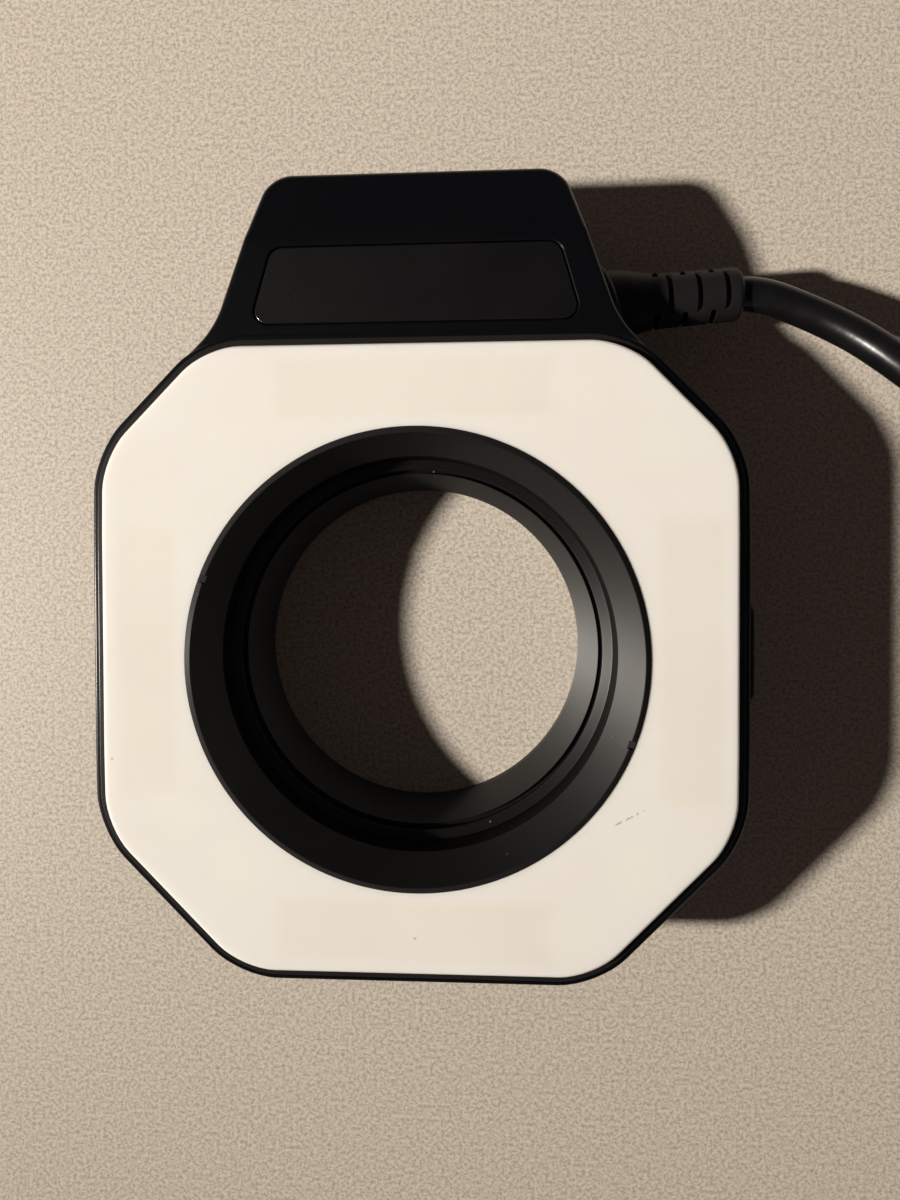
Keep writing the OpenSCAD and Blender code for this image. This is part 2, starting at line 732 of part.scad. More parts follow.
// Turns what is drawn for the upper side to another side
module to_side(name) {
    for (s = side_turns) if (s[0] == name) rotate(s[1]) children();
}
module every_side() {
    for (s = side_turns) rotate(s[1]) children();
}
module reflector(name) {
    w = reflector_w;
    color("#c9ccd0") to_side(name)
        translate([-reflector_l / 2, flash_r, reflector_seat_z]) rotate([90, 0, 90])
            linear_extrude(reflector_l) difference() {
                translate([-w / 2, 0]) square([w, reflector_h]);
                translate([-w / 2 + reflector_t, reflector_t]) square([w - 2 * reflector_t, reflector_h]);
            }
}
module along_x(x0, x1, r) {
    translate([x0, flash_r, flash_z]) rotate([0, 90, 0]) cylinder(h = x1 - x0, r = r);
}
module flash_tube(name) {
    color("#dfe8ee") to_side(name) difference() {
        along_x(-flash_l / 2, flash_l / 2, flash_d / 2);
        along_x(-flash_l / 2 - past, flash_l / 2 + past, flash_d / 2 - flash_wall);
    }
}
module tube_electrodes() {
    bore = flash_d / 2 - flash_wall - screw_play;
    color("#b9b4a8") every_side() for (s = [0, 1]) mirror([s, 0, 0]) {
        along_x(flash_l / 2 - electrode_l, flash_l / 2, bore);
        along_x(flash_l / 2, flash_l / 2 + cap_l, flash_d / 2);
        along_x(flash_l / 2 + cap_l, pin_end_x, lead_r);
    }
}
module tube_holders() {
    w = reflector_w - 2 * reflector_t;
    top = flash_z + flash_d / 2;
    color("#a5743f") every_side() for (s = [0, 1]) mirror([s, 0, 0]) difference() {
        translate([holder_x, flash_r - w / 2, reflector_seat_z])
            cube([holder_l, w, top - reflector_seat_z]);
        along_x(holder_x - past, holder_x + holder_l + past, lead_r + screw_play);
    }
}
module tube_leads() {
    color("#b5452f") every_side() for (s = [0, 1]) mirror([s, 0, 0])
        translate([pin_end_x + lead_r + screw_play, flash_r, reflector_seat_z])
            cylinder(h = flash_z + lead_r - reflector_seat_z, r = lead_r);
}
module trigger_wires() {
    color("#c08a4a") every_side() translate([0, 0, flash_d / 2 + trigger_r + screw_play])
        along_x(trigger_in - flash_l / 2, flash_l / 2 - trigger_in, trigger_r);
}

// Boards and wires in the head
module terminal_board() {
    color("#1f4d34") translate([-terminal_w / 2, terminal_y0, terminal_z])
        cube([terminal_w, terminal_h, board_t]);
}
module trigger_transformers() {
    base = terminal_z + board_t;
    color("#b98b2c") for (s = [-1, 1])
        translate([s * transformer_x - bobbin_l / 2, terminal_y0 + terminal_h / 2, base + bobbin / 2]) {
            for (x = [0, bobbin_l - bobbin_cheek])
                translate([x, -bobbin / 2, -bobbin / 2]) cube([bobbin_cheek, bobbin, bobbin]);
            rotate([0, 90, 0]) cylinder(h = bobbin_l, r = winding_r);
        }
}
module lead_wires() {
    inwards = -[exit_dir.x, exit_dir.y, 0];
    across = wire_pitch * [-exit_dir.y, exit_dir.x, 0];
    depth = head_wall + gap + boot_collar_t + wire_gap;
    collar = [flank_at_exit.x, flank_at_exit.y, exit_z] + depth * inwards;
    pad_z = terminal_z + board_t + wire_r + wire_gap;
    pad = [terminal_w / 2 - wire_land, terminal_y0 + terminal_h / 2, pad_z];
    color("#b5452f") for (i = [-1.5:1:1.5]) {
        start = collar + i * across;
        end = pad + [0, i * wire_pitch, 0];
        bend = end + [wire_land, 0, wire_gap];
        swept([start, start + wire_run * inwards, bend, end], wire_r, wire_sides);
    }
}
module board_wires() {
    high = terminal_z + board_t + wire_r + wire_gap;
    low = board_z - wire_r - wire_gap;
    color("#3a6ea5") for (i = [-1:1])
        translate([board_wire_pitch * i, 0, 0])
            swept([[0, terminal_y0 + wire_run, high], [0, terminal_y0 - wire_run / 2, high],
                [0, body_up, low], [0, body_up - board_in - wire_run, low]], wire_r, wire_sides);
}

// Release buttons with their latch plates and springs
module latch_plate(side, z0) {
    color("#9a9da2") on_side(side) between(z0, z0 + latch_t) {
        difference() {
            union() {
                circle(latch_ring_r);
                translate([0, -pawl_w / 2]) square([tongue_x, pawl_w]);
            }
            circle(latch_inner_r);
        }
        intersection() {
            difference() {
                circle(latch_inner_r + latch_ring_w / 2);
                circle(pawl_r);
            }
            translate([-latch_ring_r, -pawl_w / 2]) square([latch_ring_r, pawl_w]);
        }
    }
}
module release_button(side, z0) {
    color("#2b2b2d") on_side(side) {
        flank_bar(button_flange_x0, button_end_x, button_w, button_z, button_z + button_h, button_r);
        flank_bar(button_flange_x0, button_flange_x1, button_w + 2 * button_lip, button_z - button_lip_z,
            button_z + button_h + button_lip_z, button_r);
        translate([tongue_x, -pawl_w / 2, z0]) cube([button_flange_x1 - tongue_x, pawl_w, latch_t]);
    }
}
module latch_springs(side) {
    x0 = latch_reach + rib_t + spring_wire / 2 + spring_end_gap;
    x1 = button_flange_x0 - spring_wire / 2 - spring_end_gap;
    r = (spring_d - spring_wire) / 2;
    n = spring_sides * spring_coils;
    turn = 360 / spring_sides;
    z = floor_z + gap + spring_d / 2;
    helix = [for (i = [0:n]) [x0 + (x1 - x0) * i / n, r * cos(turn * i), z + r * sin(turn * i)]];
    color("#c9ccd0") on_side(side) for (s = [-1, 1])
        translate([0, s * spring_y, 0]) swept(helix, spring_wire / 2, 6);
}

// Cable with its boot, coil, tie and plug
module cable_boot() {
    color("#17171a") difference() {
        union() {
            at_exit() {
                cylinder(h = boot_flange_t, d = boot_flange_d);
                translate([0, 0, -head_wall - gap]) cylinder(h = head_wall + gap, d = boot_neck_d);
                translate([0, 0, -head_wall - gap - boot_collar_t])
                    cylinder(h = boot_collar_t, d = boot_neck_d + 2 * boot_collar_w);
                translate([0, 0, boot_flange_t]) {
                    cylinder(h = boot_knuckle_l, d1 = boot_blend_d, d2 = boot_d);
                    translate([0, 0, boot_knuckle_l]) sphere(d = boot_d + wire_gap);
                }
            }
            translate([boot_knuckle.x, boot_knuckle.y, exit_z]) rotate([0, 90, 0])
                cylinder(h = boot_end.x - boot_knuckle.x, d = boot_d);
        }
        boot_cuts();
    }
}
// Slots that let the boot bend: front and back, then the two sides, in turn
module boot_cuts() {
    depth = (boot_d - boot_core_d) / 2;
    for (i = [0:boot_slots - 1], turn = [0, 90])
        translate([boot_end.x - boot_tip_l - boot_slot_pitch * (i + turn / 180), boot_end.y, exit_z])
            for (flip = [0, 180]) rotate([turn + flip, 0, 0])
                translate([0, -boot_d / 2, boot_d / 2 - depth]) cube([boot_slot, boot_d, depth + past]);
}
module at_cable() {
    translate([boot_end.x, boot_end.y, 0]) children();
}
module cable_lead() {
    color("#121214") at_cable() swept(lead_path, cable_r, 10);
}
module cable_coil() {
    color("#121214") at_cable() translate(coil_place) swept(coil_path, cable_r, 6);
}
module cable_tail() {
    color("#121214") at_cable() swept(tail_path, cable_r, 10);
}
// A strap round the two strands that lie over each other at tie_deg
module cable_tie() {
    low_t = (coil_deg - tie_deg) / 360;
    radii = [coil_radius(low_t), coil_radius(low_t + 1)];
    r0 = min(radii) - cable_r - tie_gap;
    r1 = max(radii) + cable_r + tie_gap;
    z0 = coil_z - cable_r - tie_under;
    z1 = coil_z + coil_layer + cable_r + gap;
    color("#3a3a3e") at_cable() translate(coil_place) rotate(tie_deg)
        translate([(r0 + r1) / 2, 0, (z0 + z1) / 2]) rotate([90, 0, 0]) linear_extrude(tie_w, center = true)
            difference() {
                polygon(round_rectangle(r1 - r0 + 2 * tie_t, z1 - z0 + 2 * tie_t, tie_r + tie_t));
                polygon(round_rectangle(r1 - r0, z1 - z0, tie_r));
            }
}
module at_plug() {
    at_cable() translate(plug_start) rotate([90, 0, 0]) children();
}
module plug_boot() {
    color("#17171a") at_plug() cylinder(h = plug_boot_l, r1 = plug_boot_r0, r2 = plug_boot_r1);
}
module plug_body() {
    end_r = grip_r - grip_chamfer;
    color("#232326") at_plug() rotate_extrude() polygon([[0, grip_z], [end_r, grip_z],
        [grip_r, grip_z + grip_chamfer], [grip_r, shell_z - grip_chamfer], [end_r, shell_z], [0, shell_z]]);
}
module plug_shell() {
    bore = nose_r - shell_wall;
    color("#b4b7bb") at_plug() rotate_extrude() polygon([[0, shell_z], [shell_r, shell_z],
        [shell_r, nose_z], [nose_r, nose_z], [nose_r, nose_z + nose_l], [bore, nose_z + nose_l],
        [bore, shell_z + shell_floor], [0, shell_z + shell_floor]]);
}
module plug_insert() {
    color("#101012") at_plug() translate([0, 0, shell_z + shell_floor])
        cylinder(h = insert_l, r = nose_r - shell_wall - screw_play);
}
module plug_pins() {
    color("#c8a24a") at_plug() for (i = [0:pin_count - 1]) rotate(360 * i / pin_count)
        translate([pin_circle_r, 0, shell_z + shell_floor + insert_l]) cylinder(h = pin_l, r = pin_r);
}
module coupling_ring() {
    knurled = [for (i = [0:4 * knurls - 1])
        let (r = i % 4 < 2 ? coupling_r : coupling_r - knurl_depth, at = 90 * i / knurls)
        r * [cos(at), sin(at)]];
    color("#9b9ea3") at_plug() translate([0, 0, shell_z + gap]) difference() {
        linear_extrude(coupling_l) polygon(knurled);
        translate([0, 0, -past]) cylinder(h = coupling_l + 2 * past, r = shell_r + running);
    }
}

front_housing();
rear_cover();
rear_screws();
lens_tube();
tube_screws();
bezel_ring();
diffuser();
name_plate();
adapter_ring();
circuit_board();
reflector_frame();
reflector("up");  // reflector_up
reflector("down");  // reflector_down
reflector("left");  // reflector_left
reflector("right");  // reflector_right
flash_tube("up");  // flash_tube_up
flash_tube("down");  // flash_tube_down
flash_tube("left");  // flash_tube_left
flash_tube("right");  // flash_tube_right
tube_electrodes();
tube_holders();
tube_leads();
trigger_wires();
terminal_board();
trigger_transformers();
lead_wires();
board_wires();
latch_plate(1, low_latch_z);  // latch_plate_right
latch_plate(-1, high_latch_z);  // latch_plate_left
latch_springs(1);  // latch_spring_right
latch_springs(-1);  // latch_spring_left
release_button(1, low_latch_z);  // release_button_right
release_button(-1, high_latch_z);  // release_button_left
cable_boot();
cable_lead();
cable_coil();
cable_tail();
cable_tie();
plug_boot();
plug_body();
plug_shell();
plug_insert();
plug_pins();
coupling_ring();
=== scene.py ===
import math

import bmesh
import bpy
from mathutils import Matrix, Vector


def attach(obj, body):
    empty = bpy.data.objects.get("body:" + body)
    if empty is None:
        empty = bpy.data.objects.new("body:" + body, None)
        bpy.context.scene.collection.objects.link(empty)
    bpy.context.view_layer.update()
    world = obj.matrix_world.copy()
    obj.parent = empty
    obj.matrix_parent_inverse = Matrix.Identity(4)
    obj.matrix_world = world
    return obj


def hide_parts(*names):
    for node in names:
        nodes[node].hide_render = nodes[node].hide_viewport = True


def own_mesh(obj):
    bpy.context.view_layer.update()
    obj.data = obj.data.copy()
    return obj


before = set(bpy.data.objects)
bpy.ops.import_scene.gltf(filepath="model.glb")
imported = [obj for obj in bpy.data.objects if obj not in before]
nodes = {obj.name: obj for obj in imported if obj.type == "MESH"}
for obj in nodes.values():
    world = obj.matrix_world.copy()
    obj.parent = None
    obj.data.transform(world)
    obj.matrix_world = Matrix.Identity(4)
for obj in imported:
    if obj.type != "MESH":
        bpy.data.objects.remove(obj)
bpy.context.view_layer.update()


# Floor and light
# A plain pale floor under the flash, a soft lamp from the left, and a dim room
# that is pale round the horizon and darker overhead.
def give(tree, node, **values):
    """Sets up a shader node. A lower-case name is a setting, and any other an input, set or linked."""
    for name, value in values.items():
        if name == "values":
            pairs = zip(node.inputs, value)
        elif name[0].islower():
            setattr(node, name, value)
            continue
        else:
            pairs = [(node.inputs[name.replace("_", " ")], value)]
        for socket, given in pairs:
            if isinstance(given, bpy.types.NodeSocket):
                tree.links.new(given, socket)
            elif given is not None:
                socket.default_value = given
    return node


def place(tree, kind, **values):
    """Adds a shader node of a kind and sets it up."""
    return give(tree, tree.nodes.new("ShaderNode" + kind), **values)


def mixed(tree, factor, a, b):
    """Mixes two colours by a mask. The node's inputs between the mask and the colours are for other kinds."""
    return place(tree, "Mix", data_type="RGBA", values=(factor, *[None] * 5, a, b)).outputs[2]


def sums(tree, operation, *values, clamp=False):
    """One step of arithmetic on values that change over the surface."""
    return place(tree, "Math", operation=operation, use_clamp=clamp, values=values).outputs[0]


def stretched(tree, value, low, high, to_low, to_high):
    """Carries a value from one span to another, smoothly and without passing its ends."""
    return place(tree, "MapRange", interpolation_type="SMOOTHSTEP",
                 values=(value, low, high, to_low, to_high)).outputs[0]


def spot_on(tree):
    """The point of the surface, in the object's own frame."""
    return place(tree, "TexCoord").outputs["Object"]


def noise(tree, spot, scale, detail=2.0, roughness=0.5):
    """A cloudy value that changes over the surface."""
    return place(tree, "TexNoise", Vector=spot, Scale=scale, Detail=detail, Roughness=roughness).outputs["Fac"]


def new_material(name):
    """A material with its shader, and the tree to work in."""
    material = bpy.data.materials.new(name + "_finish")
    material.use_nodes = True
    return material, material.node_tree, material.node_tree.nodes["Principled BSDF"]


floor_dark = (0.345, 0.309, 0.264, 1)
floor_pale = (0.65, 0.583, 0.498, 1)
bpy.ops.object.select_all(action="DESELECT")
bpy.ops.mesh.primitive_plane_add(size=6, location=(0, 0, 0))
floor = bpy.context.object
floor.name = "floor"
floor_finish, tree, shader = new_material("pale_floor")
mottle = noise(tree, spot_on(tree), 1500.0, 6.0, 0.9)
speckle = stretched(tree, mottle, 0.42, 0.55, 0.0, 1.0)
give(tree, shader, Base_Color=mixed(tree, speckle, floor_dark, floor_pale), Roughness=0.6)
floor.data.materials.append(floor_finish)

horizon = (0.12, 0.118, 0.125, 1)
ceiling = (0.03, 0.03, 0.036, 1)
fill = (0.045, 0.033, 0.029, 1)
world = bpy.data.worlds.new("room")
bpy.context.scene.world = world
world.use_nodes = True
sky = world.node_tree
height = place(sky, "SeparateXYZ", Vector=place(sky, "TexCoord").outputs["Generated"]).outputs["Z"]
backdrop = mixed(sky, stretched(sky, height, 0.0, 0.75, 0.0, 1.0), horizon, ceiling)
ray = place(sky, "LightPath").outputs
seen = sums(sky, "ADD", ray["Is Camera Ray"], ray["Is Glossy Ray"])
seen = sums(sky, "ADD", seen, ray["Is Transmission Ray"], clamp=True)
give(sky, sky.nodes["Background"], Color=mixed(sky, seen, fill, backdrop))

lamp_aim = Vector((0.75, 0.95, 0))
bpy.ops.object.light_add(type="AREA", location=(-0.465, -0.041, 0.39))
lamp = bpy.context.object
lamp.name = "lamp"
lamp.data.shape = "DISK"
lamp.data.size = 0.045
lamp.data.energy = 1.0
lamp.data.color = (1.0, 0.93, 0.84)
lamp.data.use_nodes = True
bulb = lamp.data.node_tree
give(bulb, bulb.nodes["Emission"], Strength=place(bulb, "LightFalloff", Strength=19.3).outputs["Constant"])
lamp.rotation_euler = (lamp_aim - lamp.location).to_track_quat("-Z", "Y").to_euler()

# Camera
# A wide lens a hand's breadth above the flash, looking almost straight down on it.
# Its shift sets the flash left of the middle, so that the cable leaves on the right.
bpy.ops.object.camera_add(location=(0.0096, 0.017, 0.15338),
                          rotation=(math.radians(-1.02), math.radians(3.34), math.radians(-0.21)))
camera = bpy.context.object
camera.data.sensor_fit = "VERTICAL"
camera.data.sensor_height = 36.0
camera.data.lens = 24.96
camera.data.shift_x = 0.0183
camera.data.shift_y = -0.0295
camera.data.clip_start = 0.005
bpy.context.scene.camera = camera
bpy.context.scene.view_settings.view_transform = "Standard"

# Rear cover
# A shallow tray of black moulded plastic that closes the flash from behind.
# Six screws hold it to the housing, and the lens adapter comes out of its middle.
mm = 0.001
half_width = 51.45 * mm
half_height = 50.8 * mm
cut_above = 18.2 * mm
cut_below = 23.2 * mm
bow = 0.4 * mm
bow_reach = 17 * mm
corner_radius = 15 * mm
corner_turn = 45
head_top = 76.6 * mm
head_half_width = 23.1 * mm
head_lean = 19.5
head_flare = math.tan(math.radians(head_lean))
head_corner_radius = 5 * mm
head_corner_turn = 90 - head_lean
neck_radius = 13 * mm
neck_turn = corner_turn - head_lean
wall = 1.8 * mm
back_z = 4 * mm
tray_z = 6 * mm
parting_z = 10 * mm
button_z = 12 * mm
bore_radius = 34.2 * mm


def body_side(inset):
    """Corners of the octagon's right half, from below up, set in from the outer face."""
    w = half_width - inset
    h = half_height - inset
    above = cut_above - inset * (2 - math.sqrt(2))
    below = cut_below - inset * (2 - math.sqrt(2))
    return [(w - below, -h), (w - bow, below - h), (w, (below - above) / 2),
            (w - bow, h - above), (w - above, h)]


def both_sides(right):
    """A whole outline from its right half."""
    return right + [(-x, y) for x, y in reversed(right)]


def start_anew():
    """Leaves edit mode, with nothing selected."""
    if bpy.context.mode != "OBJECT":
        bpy.ops.object.mode_set(mode="OBJECT")
    bpy.ops.object.select_all(action="DESELECT")


def take_up(piece):
    """Selects this piece alone, to work on it."""
    start_anew()
    bpy.context.view_layer.objects.active = piece
    piece.select_set(True)


def flat_sheet(name, corners, z=None):
    """A flat sheet with these corners, level at a height or anywhere in space, left in edit mode."""
    start_anew()
    bpy.ops.mesh.primitive_circle_add(vertices=len(corners), fill_type="NGON")
    sheet = bpy.context.object
    sheet.name = sheet.data.name = name
    for vertex, corner in zip(sheet.data.vertices, corners):
        vertex.co = corner if z is None else (*corner, z)
    bpy.ops.object.mode_set(mode="EDIT")
    return sheet


def pick(kind, test):
    """Selects the vertices, edges or faces whose middle passes the test."""
    bpy.ops.mesh.select_mode(type=kind)
    bpy.ops.mesh.select_all(action="DESELECT")
    mesh = bmesh.from_edit_mesh(bpy.context.object.data)
    for part in {"VERT": mesh.verts, "EDGE": mesh.edges, "FACE": mesh.faces}[kind]:
        ends = [part] if kind == "VERT" else part.verts
        if test(sum((v.co for v in ends), Vector()) / len(ends)):
            part.select_set(True)
    bmesh.update_edit_mesh(bpy.context.object.data)


def near(a, b, reach=0.02 * mm):
    """True where two lengths agree."""
    return abs(a - b) < reach


def at_any(places):
    """A test for being at one of these places, seen from above."""
    return lambda p: any(near(p.x, x) and near(p.y, y) for x, y in places)


def ease_corner(test, offset, steps=8):
    """Rounds the chosen corners of a flat sheet, starting so far from each."""
    pick("VERT", test)
    bpy.ops.mesh.bevel(offset=offset, offset_type="OFFSET", segments=steps, affect="VERTICES", clamp_overlap=False)


def round_corner(test, radius, turn, steps=8):
    """Rounds the chosen corners of a flat sheet, which turn by so many degrees, to a radius."""
    ease_corner(test, radius * math.tan(math.radians(turn / 2)), steps)


def round_body(inset):
    """Rounds the octagon's corners and spreads the bow of its flanks."""
    right = body_side(inset)
    round_corner(at_any(both_sides(right[:2] + right[3:])), corner_radius - inset, corner_turn)
    ease_corner(at_any(both_sides([right[2]])), bow_reach)


def raise_all(height):
    """Draws the whole sheet up into a solid."""
    bpy.ops.mesh.select_all(action="SELECT")
    bpy.ops.mesh.extrude_region_move(TRANSFORM_OT_translate={"value": (0, 0, height)})
    bpy.ops.mesh.select_all(action="SELECT")
    bpy.ops.mesh.normals_make_consistent(inside=False)


def soften(test, width, steps=3):
    """Rounds over the chosen edges."""
    pick("EDGE", test)
    bpy.ops.mesh.bevel(offset=width, offset_type="OFFSET", segments=steps, profile=0.5, affect="EDGES",
                       clamp_overlap=True)


def join_or_cut(piece, tool, operation):
    """Cuts the tool out of a piece, or joins it on, and takes the tool away."""
    take_up(piece)
    step = piece.modifiers.new("step", "BOOLEAN")
    step.operation = operation
    step.solver = "EXACT"
    step.object = tool
    bpy.ops.object.modifier_apply(modifier="step")
    bpy.data.objects.remove(tool)


def round_bar(name, middle, size, radius, along):
    """A bar whose edges along one axis are rounded."""
    start_anew()
    bpy.ops.mesh.primitive_cube_add(size=1, location=middle)
    bar = bpy.context.object
    bar.name = bar.data.name = name
    bar.scale = size
    bpy.ops.object.transform_apply(location=True, rotation=True, scale=True)
    if radius:
        bpy.ops.object.mode_set(mode="EDIT")
        others = [i for i in range(3) if i != along]
        soften(lambda p: all(near(abs(p[i] - middle[i]), size[i] / 2) for i in others), radius, 6)
        bpy.ops.object.mode_set(mode="OBJECT")
    return bar


def cylinder(name, middle, radius, length, sides):
    """A plain round tool for cutting."""
    start_anew()
    bpy.ops.mesh.primitive_cylinder_add(vertices=sides, radius=radius, depth=length, location=middle)
    bpy.ops.object.transform_apply(location=True, rotation=True, scale=True)
    bpy.context.object.name = name
    return bpy.context.object


def cut_button_windows(piece):
    """Cuts the openings for the two release buttons into the flanks."""
    for outward in (-1, 1):
        window = round_bar("window", (outward * 51 * mm, 0, button_z), (8 * mm, 17 * mm, 10.6 * mm), 2.3 * mm, 0)
        join_or_cut(piece, window, "DIFFERENCE")


def wear(piece, material):
    """Gives a piece one material."""
    piece.data.materials.clear()
    piece.data.materials.append(material)


def finish_piece(piece, material, angle=30):
    """Smooths a piece up to an angle and gives it its material."""
    take_up(piece)
    bpy.ops.object.shade_smooth_by_angle(angle=math.radians(angle))
    even = piece.modifiers.new("even", "WEIGHTED_NORMAL")
    even.keep_sharp = True
    bpy.ops.object.modifier_apply(modifier="even")
    wear(piece, material)


def stands_for(piece, slot, *covered, body="flash_head"):
    """The piece takes the place of CAD solids, which are hidden, and moves with a body; its slot is not used."""
    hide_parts(*covered)
    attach(piece, body)


side = body_side(0)
flank_foot = head_half_width + head_flare * head_top
chamfer = Vector(side[4]) - Vector(side[3])
along = (flank_foot - head_flare * side[3][1] - side[3][0]) / (chamfer.x + head_flare * chamfer.y)
neck = tuple(Vector(side[3]) + along * chamfer)
head_corner = (head_half_width, head_top)
outline = both_sides(side[:4] + [neck, head_corner])
rear_cover = flat_sheet("rear_cover_shell", outline, back_z)
round_corner(at_any(both_sides([neck])), neck_radius, neck_turn)
round_corner(lambda p: near(p.y, head_top), head_corner_radius, head_corner_turn)
round_corner(at_any(both_sides(side[:2] + [side[3]])), corner_radius, corner_turn)
ease_corner(lambda p: near(abs(p.x), half_width), bow_reach)
raise_all(parting_z - back_z)
pick("FACE", lambda p: near(p.z, parting_z))
bpy.ops.mesh.inset(thickness=wall)
bpy.ops.mesh.extrude_region_move(TRANSFORM_OT_translate={"value": (0, 0, tray_z - parting_z)})
soften(lambda p: near(p.z, back_z), 0.9 * mm, 4)
bore = cylinder("bore", (0, 0, 5 * mm), bore_radius, 8 * mm, 160)
join_or_cut(rear_cover, bore, "DIFFERENCE")
screw_places = [(s * x * mm, y * mm) for x, y in ((39.6, 39.15), (37.1, -36.65), (15.0, 70.0)) for s in (-1, 1)]
for x, y in screw_places:
    sink = cylinder("sink", (x, y, back_z), 2.5 * mm, 3.2 * mm, 40)
    join_or_cut(rear_cover, sink, "DIFFERENCE")
cut_button_windows(rear_cover)


def new_group(name, **inputs):
    """A shader group with these inputs and usual values, which puts out a colour, a roughness and a height."""
    group = bpy.data.node_groups.new(name, "ShaderNodeTree")
    for label, value in inputs.items():
        kind = "NodeSocketColor" if isinstance(value, tuple) else "NodeSocketFloat"
        group.interface.new_socket(label, in_out="INPUT", socket_type=kind).default_value = value
    for label, kind in (("Colour", "Color"), ("Roughness", "Float"), ("Height", "Float")):
        group.interface.new_socket(label, in_out="OUTPUT", socket_type="NodeSocket" + kind)
    return group, group.nodes.new("NodeGroupInput").outputs, group.nodes.new("NodeGroupOutput").inputs


def specks(tree, spot, scale, dot_edge, rare, common, most=1.0):
    """A mask of small round specks, which few cells of a scattered pattern have."""
    cells = place(tree, "TexVoronoi", Vector=spot, Scale=scale, Randomness=1.0)
    dot = stretched(tree, cells.outputs["Distance"], 0.03, dot_edge, 1.0, 0.0)
    chance = place(tree, "SeparateColor", Color=cells.outputs["Color"]).outputs[0]
    return sums(tree, "MULTIPLY", dot, stretched(tree, chance, rare, common, 0.0, most))


def moulded_grain():
    """The skin of moulded plastic: fine spark texture, cloudy sheen and a little lint."""
    group, given, result = new_group("moulded_grain", Colour=(0.02, 0.02, 0.02, 1), Cloud=0.2, Roughness=0.45,
                                     Polish=0.08, Grain=3000.0, Lint=0.0)
    spot = spot_on(group)
    broad = noise(group, spot, 45.0, 5.0, 0.6)
    swing = sums(group, "MULTIPLY", sums(group, "SUBTRACT", broad, 0.5), 2.0)
    value = sums(group, "MULTIPLY_ADD", swing, given["Cloud"], 1.0)
    tinted = place(group, "HueSaturation", Value=value, Color=given["Colour"]).outputs["Color"]
    lint = sums(group, "MULTIPLY", specks(group, spot, 260.0, 0.075, 0.90, 0.97), given["Lint"])
    rough = sums(group, "MULTIPLY_ADD", swing, given["Polish"], given["Roughness"])
    group.links.new(mixed(group, lint, tinted, (0.34, 0.32, 0.29, 1)), result["Colour"])
    group.links.new(sums(group, "MULTIPLY_ADD", lint, 0.3, rough), result["Roughness"])
    group.links.new(noise(group, spot, given["Grain"]), result["Height"])
    return group


def skinned(name, group, bump, depth, **given):
    """A material whose colour, roughness and relief come from a shader group."""
    material, tree, shader = new_material(name)
    skin = place(tree, "Group", node_tree=group, **given).outputs
    relief = place(tree, "Bump", Strength=bump, Distance=depth, Height=skin["Height"]).outputs[0]
    give(tree, shader, Base_Color=skin["Colour"], Roughness=skin["Roughness"], Normal=relief)
    return material, tree, shader


grain = moulded_grain()


def moulded_plastic(name, colour, roughness, cloud=0.2, polish=0.08, grain_scale=3000.0, bump=0.12, lint=0.0,
                    gloss=0.3):
    """Moulded plastic with its own colour, sheen and grain."""
    material, tree, shader = skinned(name, grain, bump, 0.0001, Colour=(*colour, 1), Cloud=cloud,
                                     Roughness=roughness, Polish=polish, Grain=grain_scale, Lint=lint)
    give(tree, shader, Specular_IOR_Level=gloss)
    return material


cover_finish = moulded_plastic("cover_black", (0.014, 0.0138, 0.0145), 0.5, lint=0.5)
finish_piece(rear_cover, cover_finish)
stands_for(rear_cover, "cover_black", "rear_cover")


# Rear screws
# Six pan-head steel screws with a cross recess, sunk in the rear cover.
# One screw is modelled, and the other five are copies of it.
def turned(name, profile, steps, ease=0.0, ease_steps=2):
    """A turned piece: its profile, in millimetres out from and along the Z axis, spun all the way round."""
    piece = flat_sheet(name, [(r * mm, 0, z * mm) for r, z in profile])
    if ease:
        pick("VERT", lambda p: p.x > 0.01 * mm)
        bpy.ops.mesh.bevel(offset=ease * mm, offset_type="OFFSET", segments=ease_steps, affect="VERTICES",
                           clamp_overlap=True)
    bpy.ops.mesh.select_all(action="SELECT")
    bpy.ops.mesh.delete(type="ONLY_FACE")
    bpy.ops.mesh.select_all(action="SELECT")
    bpy.ops.mesh.spin(steps=steps, angle=2 * math.pi, center=(0, 0, 0), axis=(0, 0, 1), use_auto_merge=True)
    bpy.ops.mesh.select_all(action="SELECT")
    bpy.ops.mesh.remove_doubles(threshold=0.001 * mm)
    bpy.ops.mesh.select_all(action="SELECT")
    bpy.ops.mesh.normals_make_consistent(inside=False)
    bpy.ops.object.mode_set(mode="OBJECT")
    return piece


def joined(name, pieces):
    """Several meshes made one piece."""
    bpy.ops.object.select_all(action="DESELECT")
    for piece in pieces:
        piece.select_set(True)
    bpy.context.view_layer.objects.active = pieces[0]
    bpy.ops.object.join()
    pieces[0].name = pieces[0].data.name = name
    return pieces[0]


def copied(piece, matrix):
    """A copy with its own mesh, at another place."""
    double = piece.copy()
    double.data = piece.data.copy()
    double.data.transform(matrix)
    bpy.context.scene.collection.objects.link(double)
    return double


def turn_z(degrees):
    """A turn about the Z axis."""
    return Matrix.Rotation(math.radians(degrees), 4, "Z")


